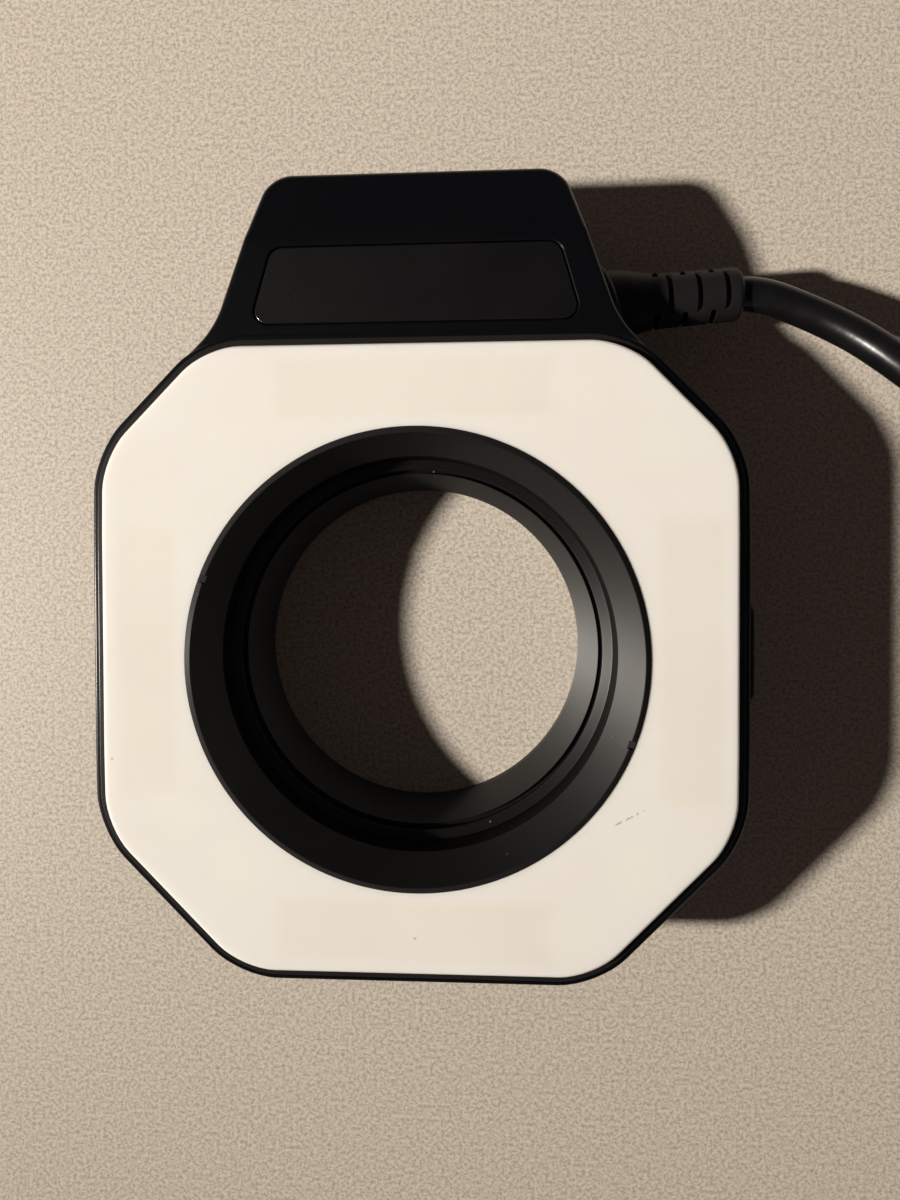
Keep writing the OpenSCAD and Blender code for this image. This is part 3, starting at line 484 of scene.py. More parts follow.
screw_profile = [(0, 17), (0, 4.45), (1.5, 4.45), (2.1, 4.85), (2.2, 5.6), (1.2, 5.6), (1.2, 16.6), (0.8, 17)]
screw_turns = (12, 71, 40, 98, 25, 63)
screw = turned("rear_screw", screw_profile, 40, 0.08)
for turn in (0, 90):
    slot = round_bar("cross", (0, 0, 4.7 * mm), (2.5 * mm, 0.55 * mm, 1.0 * mm), 0, 0)
    slot.data.transform(turn_z(turn))
    join_or_cut(screw, slot, "DIFFERENCE")
screws = [copied(screw, Matrix.Translation((x, y, 0)) @ turn_z(turn))
          for (x, y), turn in zip(screw_places, screw_turns)]
bpy.data.objects.remove(screw)
rear_screws = joined("rear_screw_set", screws)


def drawn_streaks():
    """Metal that has been rolled or brushed one way: streaks along X, and a cloudy tone."""
    group, given, result = new_group("drawn_streaks", Colour=(0.5, 0.5, 0.5, 1), Roughness=0.3, Streak=0.08)
    spot = spot_on(group)
    drawn = place(group, "Mapping", Vector=spot, Scale=(60.0, 2200.0, 2200.0)).outputs[0]
    streak = noise(group, drawn, 1.0, 3.0)
    cloud = noise(group, spot, 220.0, 3.0)
    value = sums(group, "MULTIPLY_ADD", sums(group, "SUBTRACT", cloud, 0.5), 0.5, 1.0)
    tinted = place(group, "HueSaturation", Value=value, Color=given["Colour"]).outputs["Color"]
    swing = sums(group, "MULTIPLY", sums(group, "SUBTRACT", streak, 0.5), 2.0)
    group.links.new(tinted, result["Colour"])
    group.links.new(sums(group, "MULTIPLY_ADD", swing, given["Streak"], given["Roughness"]), result["Roughness"])
    group.links.new(streak, result["Height"])
    return group


streaks = drawn_streaks()


def bare_metal(name, colour, roughness, streak=0.08, bump=0.06):
    """Bare, plated or rolled metal."""
    material, tree, shader = skinned(name, streaks, bump, 0.00005, Colour=(*colour, 1), Roughness=roughness,
                                     Streak=streak)
    give(tree, shader, Metallic=1.0)
    return material


screw_finish = bare_metal("screw_steel", (0.42, 0.42, 0.43), 0.34)
finish_piece(rear_screws, screw_finish)
stands_for(rear_screws, "screw_steel", "rear_screws")

# Lens tube
# A moulded tube of matte black plastic that lines the bore: the throat, the stop ledge
# and the seat of the bezel. Four screws hold its ears to posts of the rear cover.
tube_profile = [(34.2, 9.9), (40, 9.9), (40, 11.7), (37, 11.7), (37, 24.6), (35.15, 24.6), (35.15, 18.7),
                (32.2, 18.7), (32.2, 13.1), (30.6, 13.1), (30.6, 11.7), (34.2, 11.7)]
ledge_z = 13.1 * mm
ear_z = 10.8 * mm
tube_colour = (0.004, 0.0037, 0.0035)
lens_tube = turned("lens_tube_throat", tube_profile, 160, 0.12)
for turn in (60, 120, 240, 300):
    ear = round_bar("ear", (41.6 * mm, 0, ear_z), (13.6 * mm, 6 * mm, 1.8 * mm), 2.9 * mm, 2)
    eye = cylinder("eye", (45.4 * mm, 0, ear_z), 1.4 * mm, 4 * mm, 32)
    join_or_cut(ear, eye, "DIFFERENCE")
    ear.data.transform(turn_z(turn))
    join_or_cut(lens_tube, ear, "UNION")


def lathe_rings():
    """Fine rings round the lens axis, as a lathe or a turned mould leaves them, and a little lint."""
    group, given, result = new_group("lathe_rings", Colour=(0.02, 0.02, 0.02, 1), Roughness=0.4, Polish=0.1,
                                     Lint=0.0)
    spot = spot_on(group)
    axis = place(group, "SeparateXYZ", Vector=spot).outputs
    squares = sums(group, "MULTIPLY_ADD", axis["X"], axis["X"], sums(group, "MULTIPLY", axis["Y"], axis["Y"]))
    path = sums(group, "ADD", sums(group, "SQRT", squares), axis["Z"])
    fine, bands = [place(group, "TexNoise", noise_dimensions="1D", W=path, Scale=scale, Detail=2.0).outputs["Fac"]
                   for scale in (5200.0, 900.0)]
    swing = sums(group, "MULTIPLY", sums(group, "SUBTRACT", noise(group, spot, 60.0, 4.0), 0.5), 2.0)
    value = sums(group, "MULTIPLY_ADD", sums(group, "SUBTRACT", bands, 0.5), 0.6, 1.0)
    tinted = place(group, "HueSaturation", Value=value, Color=given["Colour"]).outputs["Color"]
    lint = sums(group, "MULTIPLY", specks(group, spot, 420.0, 0.1, 0.88, 0.96), given["Lint"])
    group.links.new(mixed(group, lint, tinted, (0.26, 0.22, 0.17, 1)), result["Colour"])
    group.links.new(sums(group, "MULTIPLY_ADD", swing, given["Polish"], given["Roughness"]), result["Roughness"])
    group.links.new(sums(group, "MULTIPLY_ADD", bands, 0.5, fine), result["Height"])
    return group


rings = lathe_rings()


def turned_finish(name, colour, roughness, bump=0.1, lint=0.0, gloss=0.3):
    """The finish of a turned piece round the lens axis, which spreads light across its rings."""
    material, tree, shader = skinned(name, rings, bump, 0.00005, Colour=(*colour, 1), Roughness=roughness,
                                     Polish=0.08, Lint=lint)
    outward = place(tree, "VectorMath", operation="MULTIPLY_ADD",
                    values=(spot_on(tree), (1, 1, 0), (0, 0, 0.015))).outputs[0]
    give(tree, shader, Tangent=outward, Anisotropic=0.9, Specular_IOR_Level=gloss)
    return material


def second_finish(piece, material, test):
    """Gives the faces whose middle passes the test a finish of their own."""
    piece.data.materials.append(material)
    for face in piece.data.polygons:
        if test(face.center):
            face.material_index = len(piece.data.materials) - 1


finish_piece(lens_tube, turned_finish("tube_black", tube_colour, 0.53, lint=0.8, gloss=0.06))
second_finish(lens_tube, turned_finish("ledge_black", tube_colour, 0.53, lint=0.8, gloss=1.0),
              lambda p: near(p.z, ledge_z, 0.14 * mm))
stands_for(lens_tube, "tube_black", "lens_tube")

# Latches and their springs
# A stamped steel plate behind each button hooks into the adapter's groove.
# Two small coil springs push each plate back out; they shorten when the button is pressed.
spring_anchor = 43.6
spring_end = 47.85
spring_wire = 0.5
spring_coils = 4
spring_steps = 12
spring_radius = 1.25
spring_z = 7.8
spring_finish = bare_metal("spring_steel", (0.55, 0.55, 0.57), 0.26)
latch_finish = bare_metal("latch_steel", (0.5, 0.5, 0.52), 0.3, streak=0.14, bump=0.12)


def wire_line(name, points, radius, steps=4):
    """A round wire or cable along one smooth line, as a curve."""
    line = bpy.data.curves.new(name, "CURVE")
    line.dimensions = "3D"
    line.bevel_depth = radius
    line.bevel_resolution = 3
    line.resolution_u = steps
    line.use_fill_caps = True
    run = line.splines.new("BEZIER")
    run.bezier_points.add(len(points) - 1)
    for knot, point in zip(run.bezier_points, points):
        knot.co = point
        knot.handle_left_type = knot.handle_right_type = "AUTO"
    wire = bpy.data.objects.new(name, line)
    bpy.context.scene.collection.objects.link(wire)
    return wire


def coil_spring(outward, across):
    """A coil spring of round wire between the latch's seat and the button."""
    low = spring_anchor + spring_wire / 2 + 0.1
    high = spring_end - spring_wire / 2 - 0.1
    turns = [i / spring_steps for i in range(spring_steps * spring_coils + 1)]
    line = [(outward * (low + (high - low) * t / spring_coils) * mm,
             (across + spring_radius * math.cos(2 * math.pi * t)) * mm,
             (spring_z + spring_radius * math.sin(2 * math.pi * t)) * mm) for t in turns]
    take_up(wire_line("spring", line, spring_wire / 2 * mm, 2))
    bpy.ops.object.convert(target="MESH")
    return bpy.context.object


for name, outward in (("right", 1), ("left", -1)):
    springs = joined("latch_springs_" + name, [coil_spring(outward, -9), coil_spring(outward, 9)])
    finish_piece(springs, spring_finish, 60)
    stands_for(springs, "spring_steel", "latch_spring_" + name)
    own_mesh(springs)
    wear(nodes["latch_plate_" + name], latch_finish)

# Inside the head
# The circuit board with its wires and trigger transformers, and four flash tubes in bright
# reflectors on a white frame. All of it is shut in between the housing and the rear cover.
board_finish, tree, shader = new_material("board_green")
spot = spot_on(tree)
tracks = place(tree, "TexBrick", Vector=spot, Scale=120.0, Mortar_Size=0.08, Color1=(0.006, 0.07, 0.03, 1),
               Color2=(0.008, 0.085, 0.035, 1), Mortar=(0.03, 0.17, 0.075, 1)).outputs["Color"]
wash = noise(tree, spot, 90.0, 3.0)
give(tree, shader, Base_Color=mixed(tree, sums(tree, "MULTIPLY", wash, 0.5), tracks, (0.01, 0.11, 0.05, 1)),
     Roughness=stretched(tree, wash, 0.3, 0.7, 0.28, 0.42))

glass_finish, tree, shader = new_material("flash_glass")
cast = noise(tree, spot_on(tree), 120.0)
give(tree, shader, Base_Color=mixed(tree, cast, (0.86, 0.91, 0.94, 1), (0.95, 0.97, 0.98, 1)),
     Roughness=stretched(tree, cast, 0.3, 0.7, 0.02, 0.06), Transmission_Weight=1.0, IOR=1.47)


def bumped(tree, strength, depth, height):
    """A normal from a height that changes over the surface."""
    return place(tree, "Bump", Strength=strength, Distance=depth, Height=height).outputs[0]


winding_finish, tree, shader = new_material("winding_amber")
turns = place(tree, "TexWave", Vector=spot_on(tree), Scale=900.0, Distortion=1.5, Detail=1.0).outputs["Fac"]
give(tree, shader, Base_Color=mixed(tree, turns, (0.28, 0.15, 0.02, 1), (0.52, 0.32, 0.06, 1)),
     Roughness=stretched(tree, turns, 0.0, 1.0, 0.3, 0.42), Normal=bumped(tree, 0.3, 0.0001, turns))

reflector_finish = bare_metal("reflector_bright", (0.82, 0.83, 0.85), 0.16, streak=0.05)
electrode_finish = bare_metal("electrode_steel", (0.52, 0.51, 0.48), 0.35)
copper_finish = bare_metal("trigger_copper", (0.72, 0.36, 0.2), 0.3)
white_finish = moulded_plastic("frame_white", (0.72, 0.71, 0.67), 0.45, cloud=0.06)
holder_finish = moulded_plastic("holder_brown", (0.19, 0.075, 0.025), 0.6, cloud=0.15)
red_finish = moulded_plastic("lead_red", (0.36, 0.03, 0.02), 0.4, cloud=0.12)
blue_finish = moulded_plastic("lead_blue", (0.02, 0.07, 0.3), 0.4, cloud=0.12)
ways = ("up", "down", "left", "right")
for finish, covered in ((screw_finish, ["tube_screws"]), (board_finish, ["circuit_board", "terminal_board"]),
                        (white_finish, ["reflector_frame"]), (winding_finish, ["trigger_transformers"]),
                        (reflector_finish, ["reflector_" + way for way in ways]),
                        (glass_finish, ["flash_tube_" + way for way in ways]),
                        (electrode_finish, ["tube_electrodes"]), (holder_finish, ["tube_holders"]),
                        (red_finish, ["tube_leads", "lead_wires"]), (blue_finish, ["board_wires"]),
                        (copper_finish, ["trigger_wires"])):
    for name in covered:
        wear(nodes[name], finish)

# Release buttons
# Two long buttons of smooth black plastic, one in each flank, with grip grooves across their faces.
# A flange inside the housing keeps each one in, and its tongue carries the latch.
button_size = (6.5 * mm, 16.4 * mm, 10 * mm)
button_face = 54.35 * mm
groove_size = (1.1 * mm, 0.7 * mm, 7.6 * mm)
groove_pitch = 1.9
flange_size = (1.5 * mm, 20 * mm, 11.2 * mm)
tongue_size = (4.9 * mm, 10 * mm, 1.5 * mm)
button_finish = moulded_plastic("button_black", (0.012, 0.012, 0.0125), 0.36, bump=0.05, lint=0.4)
for name, outward, tongue_z in (("right", 1, 6.3), ("left", -1, 8.1)):
    button = round_bar("button_" + name, (outward * 51.1 * mm, 0, button_z), button_size, 2 * mm, 0)
    bpy.ops.object.mode_set(mode="EDIT")
    soften(lambda p: near(abs(p.x), button_face), 0.6 * mm, 4)
    for step in range(-3, 4):
        groove_place = (outward * 54.45 * mm, step * groove_pitch * mm, button_z)
        join_or_cut(button, round_bar("groove", groove_place, groove_size, 0.3 * mm, 2), "DIFFERENCE")
    flange = round_bar("flange", (outward * 48.6 * mm, 0, button_z), flange_size, 2 * mm, 0)
    join_or_cut(button, flange, "UNION")
    tongue = round_bar("tongue", (outward * 46.4 * mm, 0, (tongue_z + 0.75) * mm), tongue_size, 0, 0)
    join_or_cut(button, tongue, "UNION")
    finish_piece(button, button_finish, 35)
    stands_for(button, "button_black", "release_button_" + name, body="release_" + name)

# Front housing
# The black moulded shell: an octagonal frame with a fine raised lip round the diffuser, and the head that
# carries the plate growing out of its upper edge. It is screwed to the rear cover from behind.
rim_z = 24.8 * mm
rim_step = 0.3 * mm
lip_inset = 0.85 * mm
lip_low = parting_z + 1 * mm
parting_ease = 0.22 * mm
head_z = 24.2 * mm
head_roof_z = 22.4 * mm
hollow_low = 5 * mm
brow_y = 66 * mm
brow_drop = 2 * mm
brow_normal = Vector((0, brow_drop, head_top - brow_y)).normalized()
front_housing = flat_sheet("front_housing_shell", both_sides(body_side(0)), parting_z)
round_body(0)
raise_all(rim_z - rim_step - parting_z)
soften(lambda p: near(p.z, rim_z - rim_step), 0.4 * mm, 5)
soften(lambda p: near(p.z, parting_z), parting_ease, 2)
lip = flat_sheet("lip", both_sides(body_side(lip_inset)), lip_low)
round_body(lip_inset)
raise_all(rim_z - lip_low)
soften(lambda p: near(p.z, rim_z), 0.18 * mm, 3)
join_or_cut(front_housing, lip, "UNION")


def head_block(name, inset, low, top):
    """The head as a solid, or its hollow, with the sloping brow cut off it."""
    root = Vector(side[3]) + 0.55 * chamfer
    inward = Vector((-0.03 * mm - inset, 0))
    foot = (root + inward - Vector((0, inset))).to_tuple()
    bend = (Vector(neck) + inward).to_tuple()
    crown = (head_corner[0] - inset * (1 - head_flare), head_corner[1] - inset)
    block = flat_sheet(name, both_sides([foot, bend, crown]), low)
    round_corner(at_any(both_sides([bend])), neck_radius, neck_turn, 10)
    round_corner(lambda p: near(p.y, crown[1]), head_corner_radius - inset, head_corner_turn, 10)
    raise_all(top - low)
    bpy.ops.mesh.select_all(action="SELECT")
    start = Vector((0, brow_y, head_z)) - inset * brow_normal
    bpy.ops.mesh.bisect(plane_co=start, plane_no=brow_normal, use_fill=True, clear_outer=True)
    return block, start


head, brow_start = head_block("head", 0, parting_z, head_z)
soften(lambda p: near(p.z, head_z) or near((p - brow_start).dot(brow_normal), 0), 1.0 * mm, 5)
soften(lambda p: near(p.z, parting_z), parting_ease, 2)
join_or_cut(front_housing, head, "UNION")
hollow = flat_sheet("hollow", both_sides(body_side(wall)), hollow_low)
round_body(wall)
raise_all(30 * mm)
join_or_cut(front_housing, hollow, "DIFFERENCE")
head_hollow, _ = head_block("head_hollow", wall, hollow_low, head_roof_z)
join_or_cut(front_housing, head_hollow, "DIFFERENCE")

plate_low = 52.5 * mm
plate_high = 64.3 * mm
plate_middle = 58.4 * mm
plate_half_width = 25.8 * mm
plate_corner = 2.2 * mm
plate_gap = 0.25 * mm
plate_seat_z = head_z - 0.9 * mm
plate_lean = 16.5
plate_flare = math.tan(math.radians(plate_lean))


def plate_corners(grow):
    """Corners of the name plate, or of its recess, which is a little larger."""
    out = grow / math.cos(math.radians(plate_lean))
    rise = plate_high - plate_low
    return both_sides([(plate_half_width + out + plate_flare * grow, plate_low - grow),
                       (plate_half_width + out - plate_flare * (rise + grow), plate_high + grow)])


def plate_sheet(name, grow):
    """The outline of the name plate, or of its recess, with its corners rounded."""
    sheet = flat_sheet(name, plate_corners(grow), plate_seat_z)
    round_corner(lambda p: near(p.y, plate_low - grow), plate_corner + grow, 90 + plate_lean)
    round_corner(lambda p: near(p.y, plate_high + grow), plate_corner + grow, 90 - plate_lean)
    return sheet


recess = plate_sheet("recess", plate_gap)
raise_all(0.75 * mm)
pick("FACE", lambda p: near(p.z, head_z - 0.15 * mm))
bpy.ops.mesh.extrude_region_move(TRANSFORM_OT_translate={"value": (0, 0, 0.3 * mm)})
bpy.ops.transform.resize(value=(1.012, 1.04, 1), center_override=(0, plate_middle, 0))
join_or_cut(front_housing, recess, "DIFFERENCE")
cut_button_windows(front_housing)
housing_finish = moulded_plastic("housing_black", (0.0022, 0.0021, 0.0029), 0.27, cloud=0.25, polish=0.04,
                                 bump=0.14, lint=0.7, gloss=0.42)
# Painted reflection: the lip's top is a lighter grey than the shell, for the light of the white diffuser beside it.
lip_reflection_finish = moulded_plastic("lip_painted_reflection", (0.014, 0.0125, 0.012), 0.3, cloud=0.25, polish=0.04,
                             bump=0.14, gloss=0.42)
finish_piece(front_housing, housing_finish)
second_finish(front_housing, lip_reflection_finish, lambda p: p.z > rim_z - 0.2 * mm)
stands_for(front_housing, "housing_black", "front_housing")

# Name plate
# A thin plate of grained black plastic in a recess of the head, held by glue and left bare.
# Its edge is cut clean, so that it catches the light.
plate_top = head_z - 0.1 * mm
plate_ease = 0.2 * mm
name_plate = plate_sheet("name_plate_sheet", 0)
raise_all(0.8 * mm)
soften(lambda p: near(p.z, plate_top), plate_ease, 3)
plate_finish = moulded_plastic("plate_black", (0.0034, 0.0032, 0.0036), 0.48, cloud=0.3, grain_scale=3600.0,
                               bump=0.3, lint=0.9, gloss=0.2)
plate_edge_finish = moulded_plastic("plate_edge_black", (0.006, 0.0056, 0.006), 0.22, bump=0.05, gloss=0.8)
finish_piece(name_plate, plate_finish)
second_finish(name_plate, plate_edge_finish,
              lambda p: plate_top - plate_ease - 0.01 * mm < p.z < plate_top - 0.005 * mm)
stands_for(name_plate, "plate_black", "name_plate")

# Diffuser
# A cap of opal white acrylic, pushed into the housing's rim and held by the bezel.
# The reflectors behind it are painted into its colour as four faint bars of painted shade, and the tube ends as warm
# spots of painted glow.
diffuser_low = 22 * mm
diffuser_top = 26.2 * mm
diffuser_inset = 2.05 * mm
opening_profile = [(0, 20), (35.3, 20), (35.3, 25.85), (35.4, 26.1), (35.65, 26.2), (36, 26.6), (0, 26.6)]
opal = (0.93, 0.9, 0.855, 1)
painted_bar_shade = (0.902, 0.862, 0.8, 1)
painted_warm_glow = (0.97, 0.92, 0.845, 1)
painted_edge_shade = (0.74, 0.71, 0.67, 1)
grime = (0.56, 0.5, 0.42, 1)
tube_ends = ((-28.6, 34.1), (-38.6, 24.1), (25.3, 41.1), (36.5, 32.4),
             (-28.3, -32.3), (-37.8, -24.1), (33.5, -31.8), (23.3, -42.0))
scuff_place = (32.7 * mm, -23.8 * mm, diffuser_top)
scuff_turn = math.radians(28)
diffuser = flat_sheet("diffuser_cap", both_sides(body_side(diffuser_inset)), diffuser_low)
round_body(diffuser_inset)
raise_all(diffuser_top - diffuser_low)
soften(lambda p: near(p.z, diffuser_top), 0.6 * mm, 5)
opening = turned("opening", opening_profile, 192)
join_or_cut(diffuser, opening, "DIFFERENCE")
opal_finish, tree, shader = new_material("opal_white")
spot = spot_on(tree)
axis = place(tree, "SeparateXYZ", Vector=spot).outputs
across = sums(tree, "ABSOLUTE", axis["X"])
upward = sums(tree, "ABSOLUTE", axis["Y"])
# Painted shade: four darker bars where the reflectors lie behind the opal.
bars = []
for along, out in ((across, upward), (upward, across)):
    length = stretched(tree, along, 19.8 * mm, 23.2 * mm, 1.0, 0.0)
    inner = stretched(tree, out, 36.2 * mm, 38.6 * mm, 0.0, 1.0)
    outer = stretched(tree, out, 45.4 * mm, 47.8 * mm, 1.0, 0.0)
    bars.append(sums(tree, "MULTIPLY", sums(tree, "MULTIPLY", length, inner), outer))
white = mixed(tree, sums(tree, "MAXIMUM", *bars), opal, painted_bar_shade)
# Painted glow: warm, brighter spots over the tube ends, as light seen through the opal.
for x, y in tube_ends:
    reach = place(tree, "VectorMath", operation="DISTANCE", values=(spot, (x * mm, y * mm, diffuser_top)))
    painted_glow = stretched(tree, reach.outputs["Value"], 1.0 * mm, 6.5 * mm, 0.8, 0.0)
    white = mixed(tree, painted_glow, white, painted_warm_glow)
cloud = noise(tree, spot, 50.0, 3.0)
tone = stretched(tree, cloud, 0.25, 0.75, 0.975, 1.015)
tinted = place(tree, "HueSaturation", Value=tone, Color=white).outputs["Color"]
# Painted shade: the rounded edge just below the top is darkened, where the opal loses its light.
edge = stretched(tree, axis["Z"], diffuser_top - 0.3 * mm, diffuser_top - 0.02 * mm, 1.0, 0.0)
shaded = mixed(tree, edge, tinted, painted_edge_shade)
scuff_spot = place(tree, "Mapping", vector_type="TEXTURE", Vector=spot, Location=scuff_place,
                   Rotation=(0, 0, scuff_turn)).outputs[0]
scuff_axis = place(tree, "SeparateXYZ", Vector=scuff_spot).outputs
scuff_length = stretched(tree, sums(tree, "ABSOLUTE", scuff_axis["X"]), 2.0 * mm, 2.8 * mm, 1.0, 0.0)
scuff_width = stretched(tree, sums(tree, "ABSOLUTE", scuff_axis["Y"]), 0.06 * mm, 0.2 * mm, 1.0, 0.0)
broken = stretched(tree, noise(tree, spot, 1500.0, 1.0), 0.46, 0.56, 0.0, 1.0)
scuff = sums(tree, "MULTIPLY", sums(tree, "MULTIPLY", scuff_length, scuff_width), broken)
marks = sums(tree, "MAXIMUM", scuff, specks(tree, spot, 210.0, 0.07, 0.93, 0.98, 0.7))
give(tree, shader, Base_Color=mixed(tree, marks, shaded, grime),
     Roughness=sums(tree, "MULTIPLY_ADD", cloud, 0.06, 0.07),
     Normal=bumped(tree, 0.03, 0.0002, noise(tree, spot, 700.0)),
     Subsurface_Weight=0.85, Subsurface_Radius=(0.0013, 0.0012, 0.0011), Subsurface_Scale=1.0)
finish_piece(diffuser, opal_finish)
stands_for(diffuser, "opal_white", "diffuser")

# Bezel
# A turned metal ring, anodised satin black, screwed into the lens tube over the diffuser's edge.
# Its rim has two slots for a spanner, and its inside is a shallow cone.
bezel_profile = [(32.2, 18.7), (35, 18.7), (35, 26.2), (36, 26.2), (36, 26.32), (35.05, 27), (34.9, 27)]
cone_reach = 34.93 * mm
bezel = turned("bezel", bezel_profile, 192, 0.06)
for turn in (159, 339):
    slot = round_bar("spanner_slot", (35.4 * mm, 0, 27 * mm), (3 * mm, 1.3 * mm, 1.0 * mm), 0, 0)
    slot.data.transform(turn_z(turn))
    join_or_cut(bezel, slot, "DIFFERENCE")
rim_finish = turned_finish("bezel_black", (0.018, 0.017, 0.0175), 0.51, bump=0.12, lint=0.3, gloss=0.2)
cone_finish = turned_finish("cone_black", (0.0016, 0.0015, 0.0018), 0.51, bump=0.12, lint=0.3, gloss=0.8)
finish_piece(bezel, rim_finish)
second_finish(bezel, cone_finish, lambda p: p.xy.length < cone_reach)
stands_for(bezel, "bezel_black", "bezel_ring")

# Adapter
# The turned metal ring that screws into the lens: a filter thread, a flange, and the groove
# in which the latches run, so that the flash swivels on it.
thread_core = 28.62
thread_crest = 29.0
thread = []
for i in range(5):
    z = 0.55 + 0.75 * i
    thread += [(thread_core, z), (thread_crest, z + 0.3), (thread_crest, z + 0.42), (thread_core, z + 0.7)]
adapter_profile = [(28, 0), (thread_core, 0), *thread, (thread_core, 4.2), (33.8, 4.2), (33.8, 6), (32.6, 6),
                   (32.6, 9.9), (33.8, 9.9), (33.8, 11.3), (31.4, 11.3), (31.4, 10.5), (30.15, 10.5), (30.1, 11.3),
                   (30, 11.3), (28, 2.1)]
adapter = turned("adapter", adapter_profile, 192, 0.07)
adapter_finish = turned_finish("adapter_black", (0.004, 0.0037, 0.0035), 0.54, bump=0.15, lint=0.5, gloss=1.0)
finish_piece(adapter, adapter_finish)
stands_for(adapter, "adapter_black", "adapter_ring", body="adapter")

# Cable boot
# A strain relief of black rubber, moulded on the cable: a flange against the head's flank,
# a tapered root, and a sleeve with slots in turn from the front and the sides, so that it bends.
boot_place = (53.028, 59.169, 12)
exit_point = Vector((29.828, 57.6, 12)) * mm
boot_end = Vector(boot_place) * mm
boot_way = (boot_end - exit_point).normalized()
boot_length = (boot_end - exit_point).length / mm
flank_way = Vector((math.cos(math.radians(head_lean)), math.sin(math.radians(head_lean)), 0))
flange_profile = [(0, -3), (4.0, -3), (4.0, 0), (7, 0), (7, 1.6), (6.4, 2.2), (0, 2.2)]
sleeve_profile = [(0, -0.5), (5.6, -0.5), (5.7, 2.0), (5.4, 4.8), (4.7, 8.2), (4.5, 10.5), (4.3, boot_length - 0.7),
                  (3.7, boot_length), (0, boot_length)]
front_slots = (11.3, 16.0, 20.5)
side_slots = (9.1, 13.7, 18.3)


def along_line(start, way):
    """Turns a piece made along Z into a line from a point, with its front still to the front."""
    across = Vector((0, 0, 1)).cross(way).normalized()
    turn = Matrix((Vector((0, 0, 1)), across, way)).transposed().to_4x4()
    return Matrix.Translation(start) @ turn


boot = turned("cable_boot_sleeve", flange_profile, 64, 0.25, 3)
boot.data.transform(along_line(exit_point, flank_way))
sleeve = turned("sleeve", sleeve_profile, 64, 0.3, 3)
for slots, turn in ((front_slots, 0), (side_slots, 90)):
    for u in slots:
        for front in (-1, 1):
            slot = round_bar("slot", (front * 4.6 * mm, 0, u * mm), (3.2 * mm, 7.6 * mm, 1.0 * mm), 0.3 * mm, 0)
            slot.data.transform(turn_z(turn))
            join_or_cut(sleeve, slot, "DIFFERENCE")
sleeve.data.transform(along_line(exit_point, boot_way))
join_or_cut(boot, sleeve, "UNION")
rubber_finish = moulded_plastic("boot_rubber", (0.0095, 0.0093, 0.0098), 0.5, cloud=0.3, grain_scale=2200.0,
                                bump=0.2, lint=0.8)
finish_piece(boot, rubber_finish, 35)
stands_for(boot, "boot_rubber", "cable_boot")

# Cable
# A round lead with a glossy black sheath. It rises out of the boot in a low arch, comes down and
# is put away in a coil of two turns, which a tie holds; its tail ends in the plug.
cable_radius = 2.8
boot_lift = 9.2
cable_bow = [(0, 0, 1), (1.5, 0, 1), (3.5, -0.3, 1), (5.8, -0.95, 1.005), (8.3, -2, 1.022), (11, -3.35, 1.065),
             (13.8, -4.95, 1.13), (16.4, -6.7, 1.223), (19, -8.8, 1.348), (22.2, -11.9, 1.522), (26, -15.5, 1.674),
             (30.5, -18.9, 1.761), (36, -21.8, 1.728), (42, -23.6, 1.543), (48, -24.2, 1.239), (54, -23.9, 0.87),
             (59.5, -23.5, 0.5), (64.3, -23.9, 0.239), (69, -25.25, 0.13)]
coil_middle = (126.028, -4.831)
coil_radius = 35
coil_spread = 6.2
coil_low = 3.8
coil_rise = 6.1
coil_start = 70
coil_turns = 2 + coil_start / 360
coil_steps = round(24 * coil_turns)
coil_lead = 5.6
tail_drop = 2.9
tail_run = ((0, 0), (-4, 0), (-8, 0.24), (-11, 0.52), (-14, 0.76), (-18, 1), (-22, 1))


def coil_point(t, off=0.0):
    """A point of the coil after so many turns, and so far along its way."""
    angle = math.radians(coil_start - 360 * t)
    radius = coil_radius - coil_spread * min(t, coil_turns - t)
    rise = min(max((t - coil_turns / 2) / 0.5 + 0.5, 0), 1)
    height = coil_low + coil_rise * rise * rise * (3 - 2 * rise)
    return (coil_middle[0] + radius * math.cos(angle) + off * math.sin(angle),
            coil_middle[1] + radius * math.sin(angle) - off * math.cos(angle), height)


cable_route = [(boot_place[0] + x, boot_place[1] + y, cable_radius + share * boot_lift) for x, y, share in cable_bow]
cable_route.append(coil_point(0, -coil_lead))
cable_route += [coil_point(coil_turns * i / coil_steps) for i in range(coil_steps + 1)]
coil_end = coil_point(coil_turns, coil_lead)
cable_route += [(coil_end[0], coil_end[1] + run, coil_end[2] - tail_drop * drop) for run, drop in tail_run]
cable = wire_line("cable", [Vector(p) * mm for p in cable_route], cable_radius * mm)
cable.data.bevel_resolution = 6
sheath_finish, tree, shader = new_material("cable_black")
spot = spot_on(tree)
cloud = noise(tree, spot, 160.0, 4.0)
give(tree, shader, Base_Color=mixed(tree, cloud, (0.0035, 0.0033, 0.0036, 1), (0.007, 0.0066, 0.007, 1)),
     Roughness=stretched(tree, cloud, 0.3, 0.7, 0.22, 0.32),
     Normal=bumped(tree, 0.12, 0.0003, noise(tree, spot, 420.0)), Specular_IOR_Level=0.45)
cable.data.materials.append(sheath_finish)
stands_for(cable, "cable_black", "cable_lead", "cable_coil", "cable_tail")

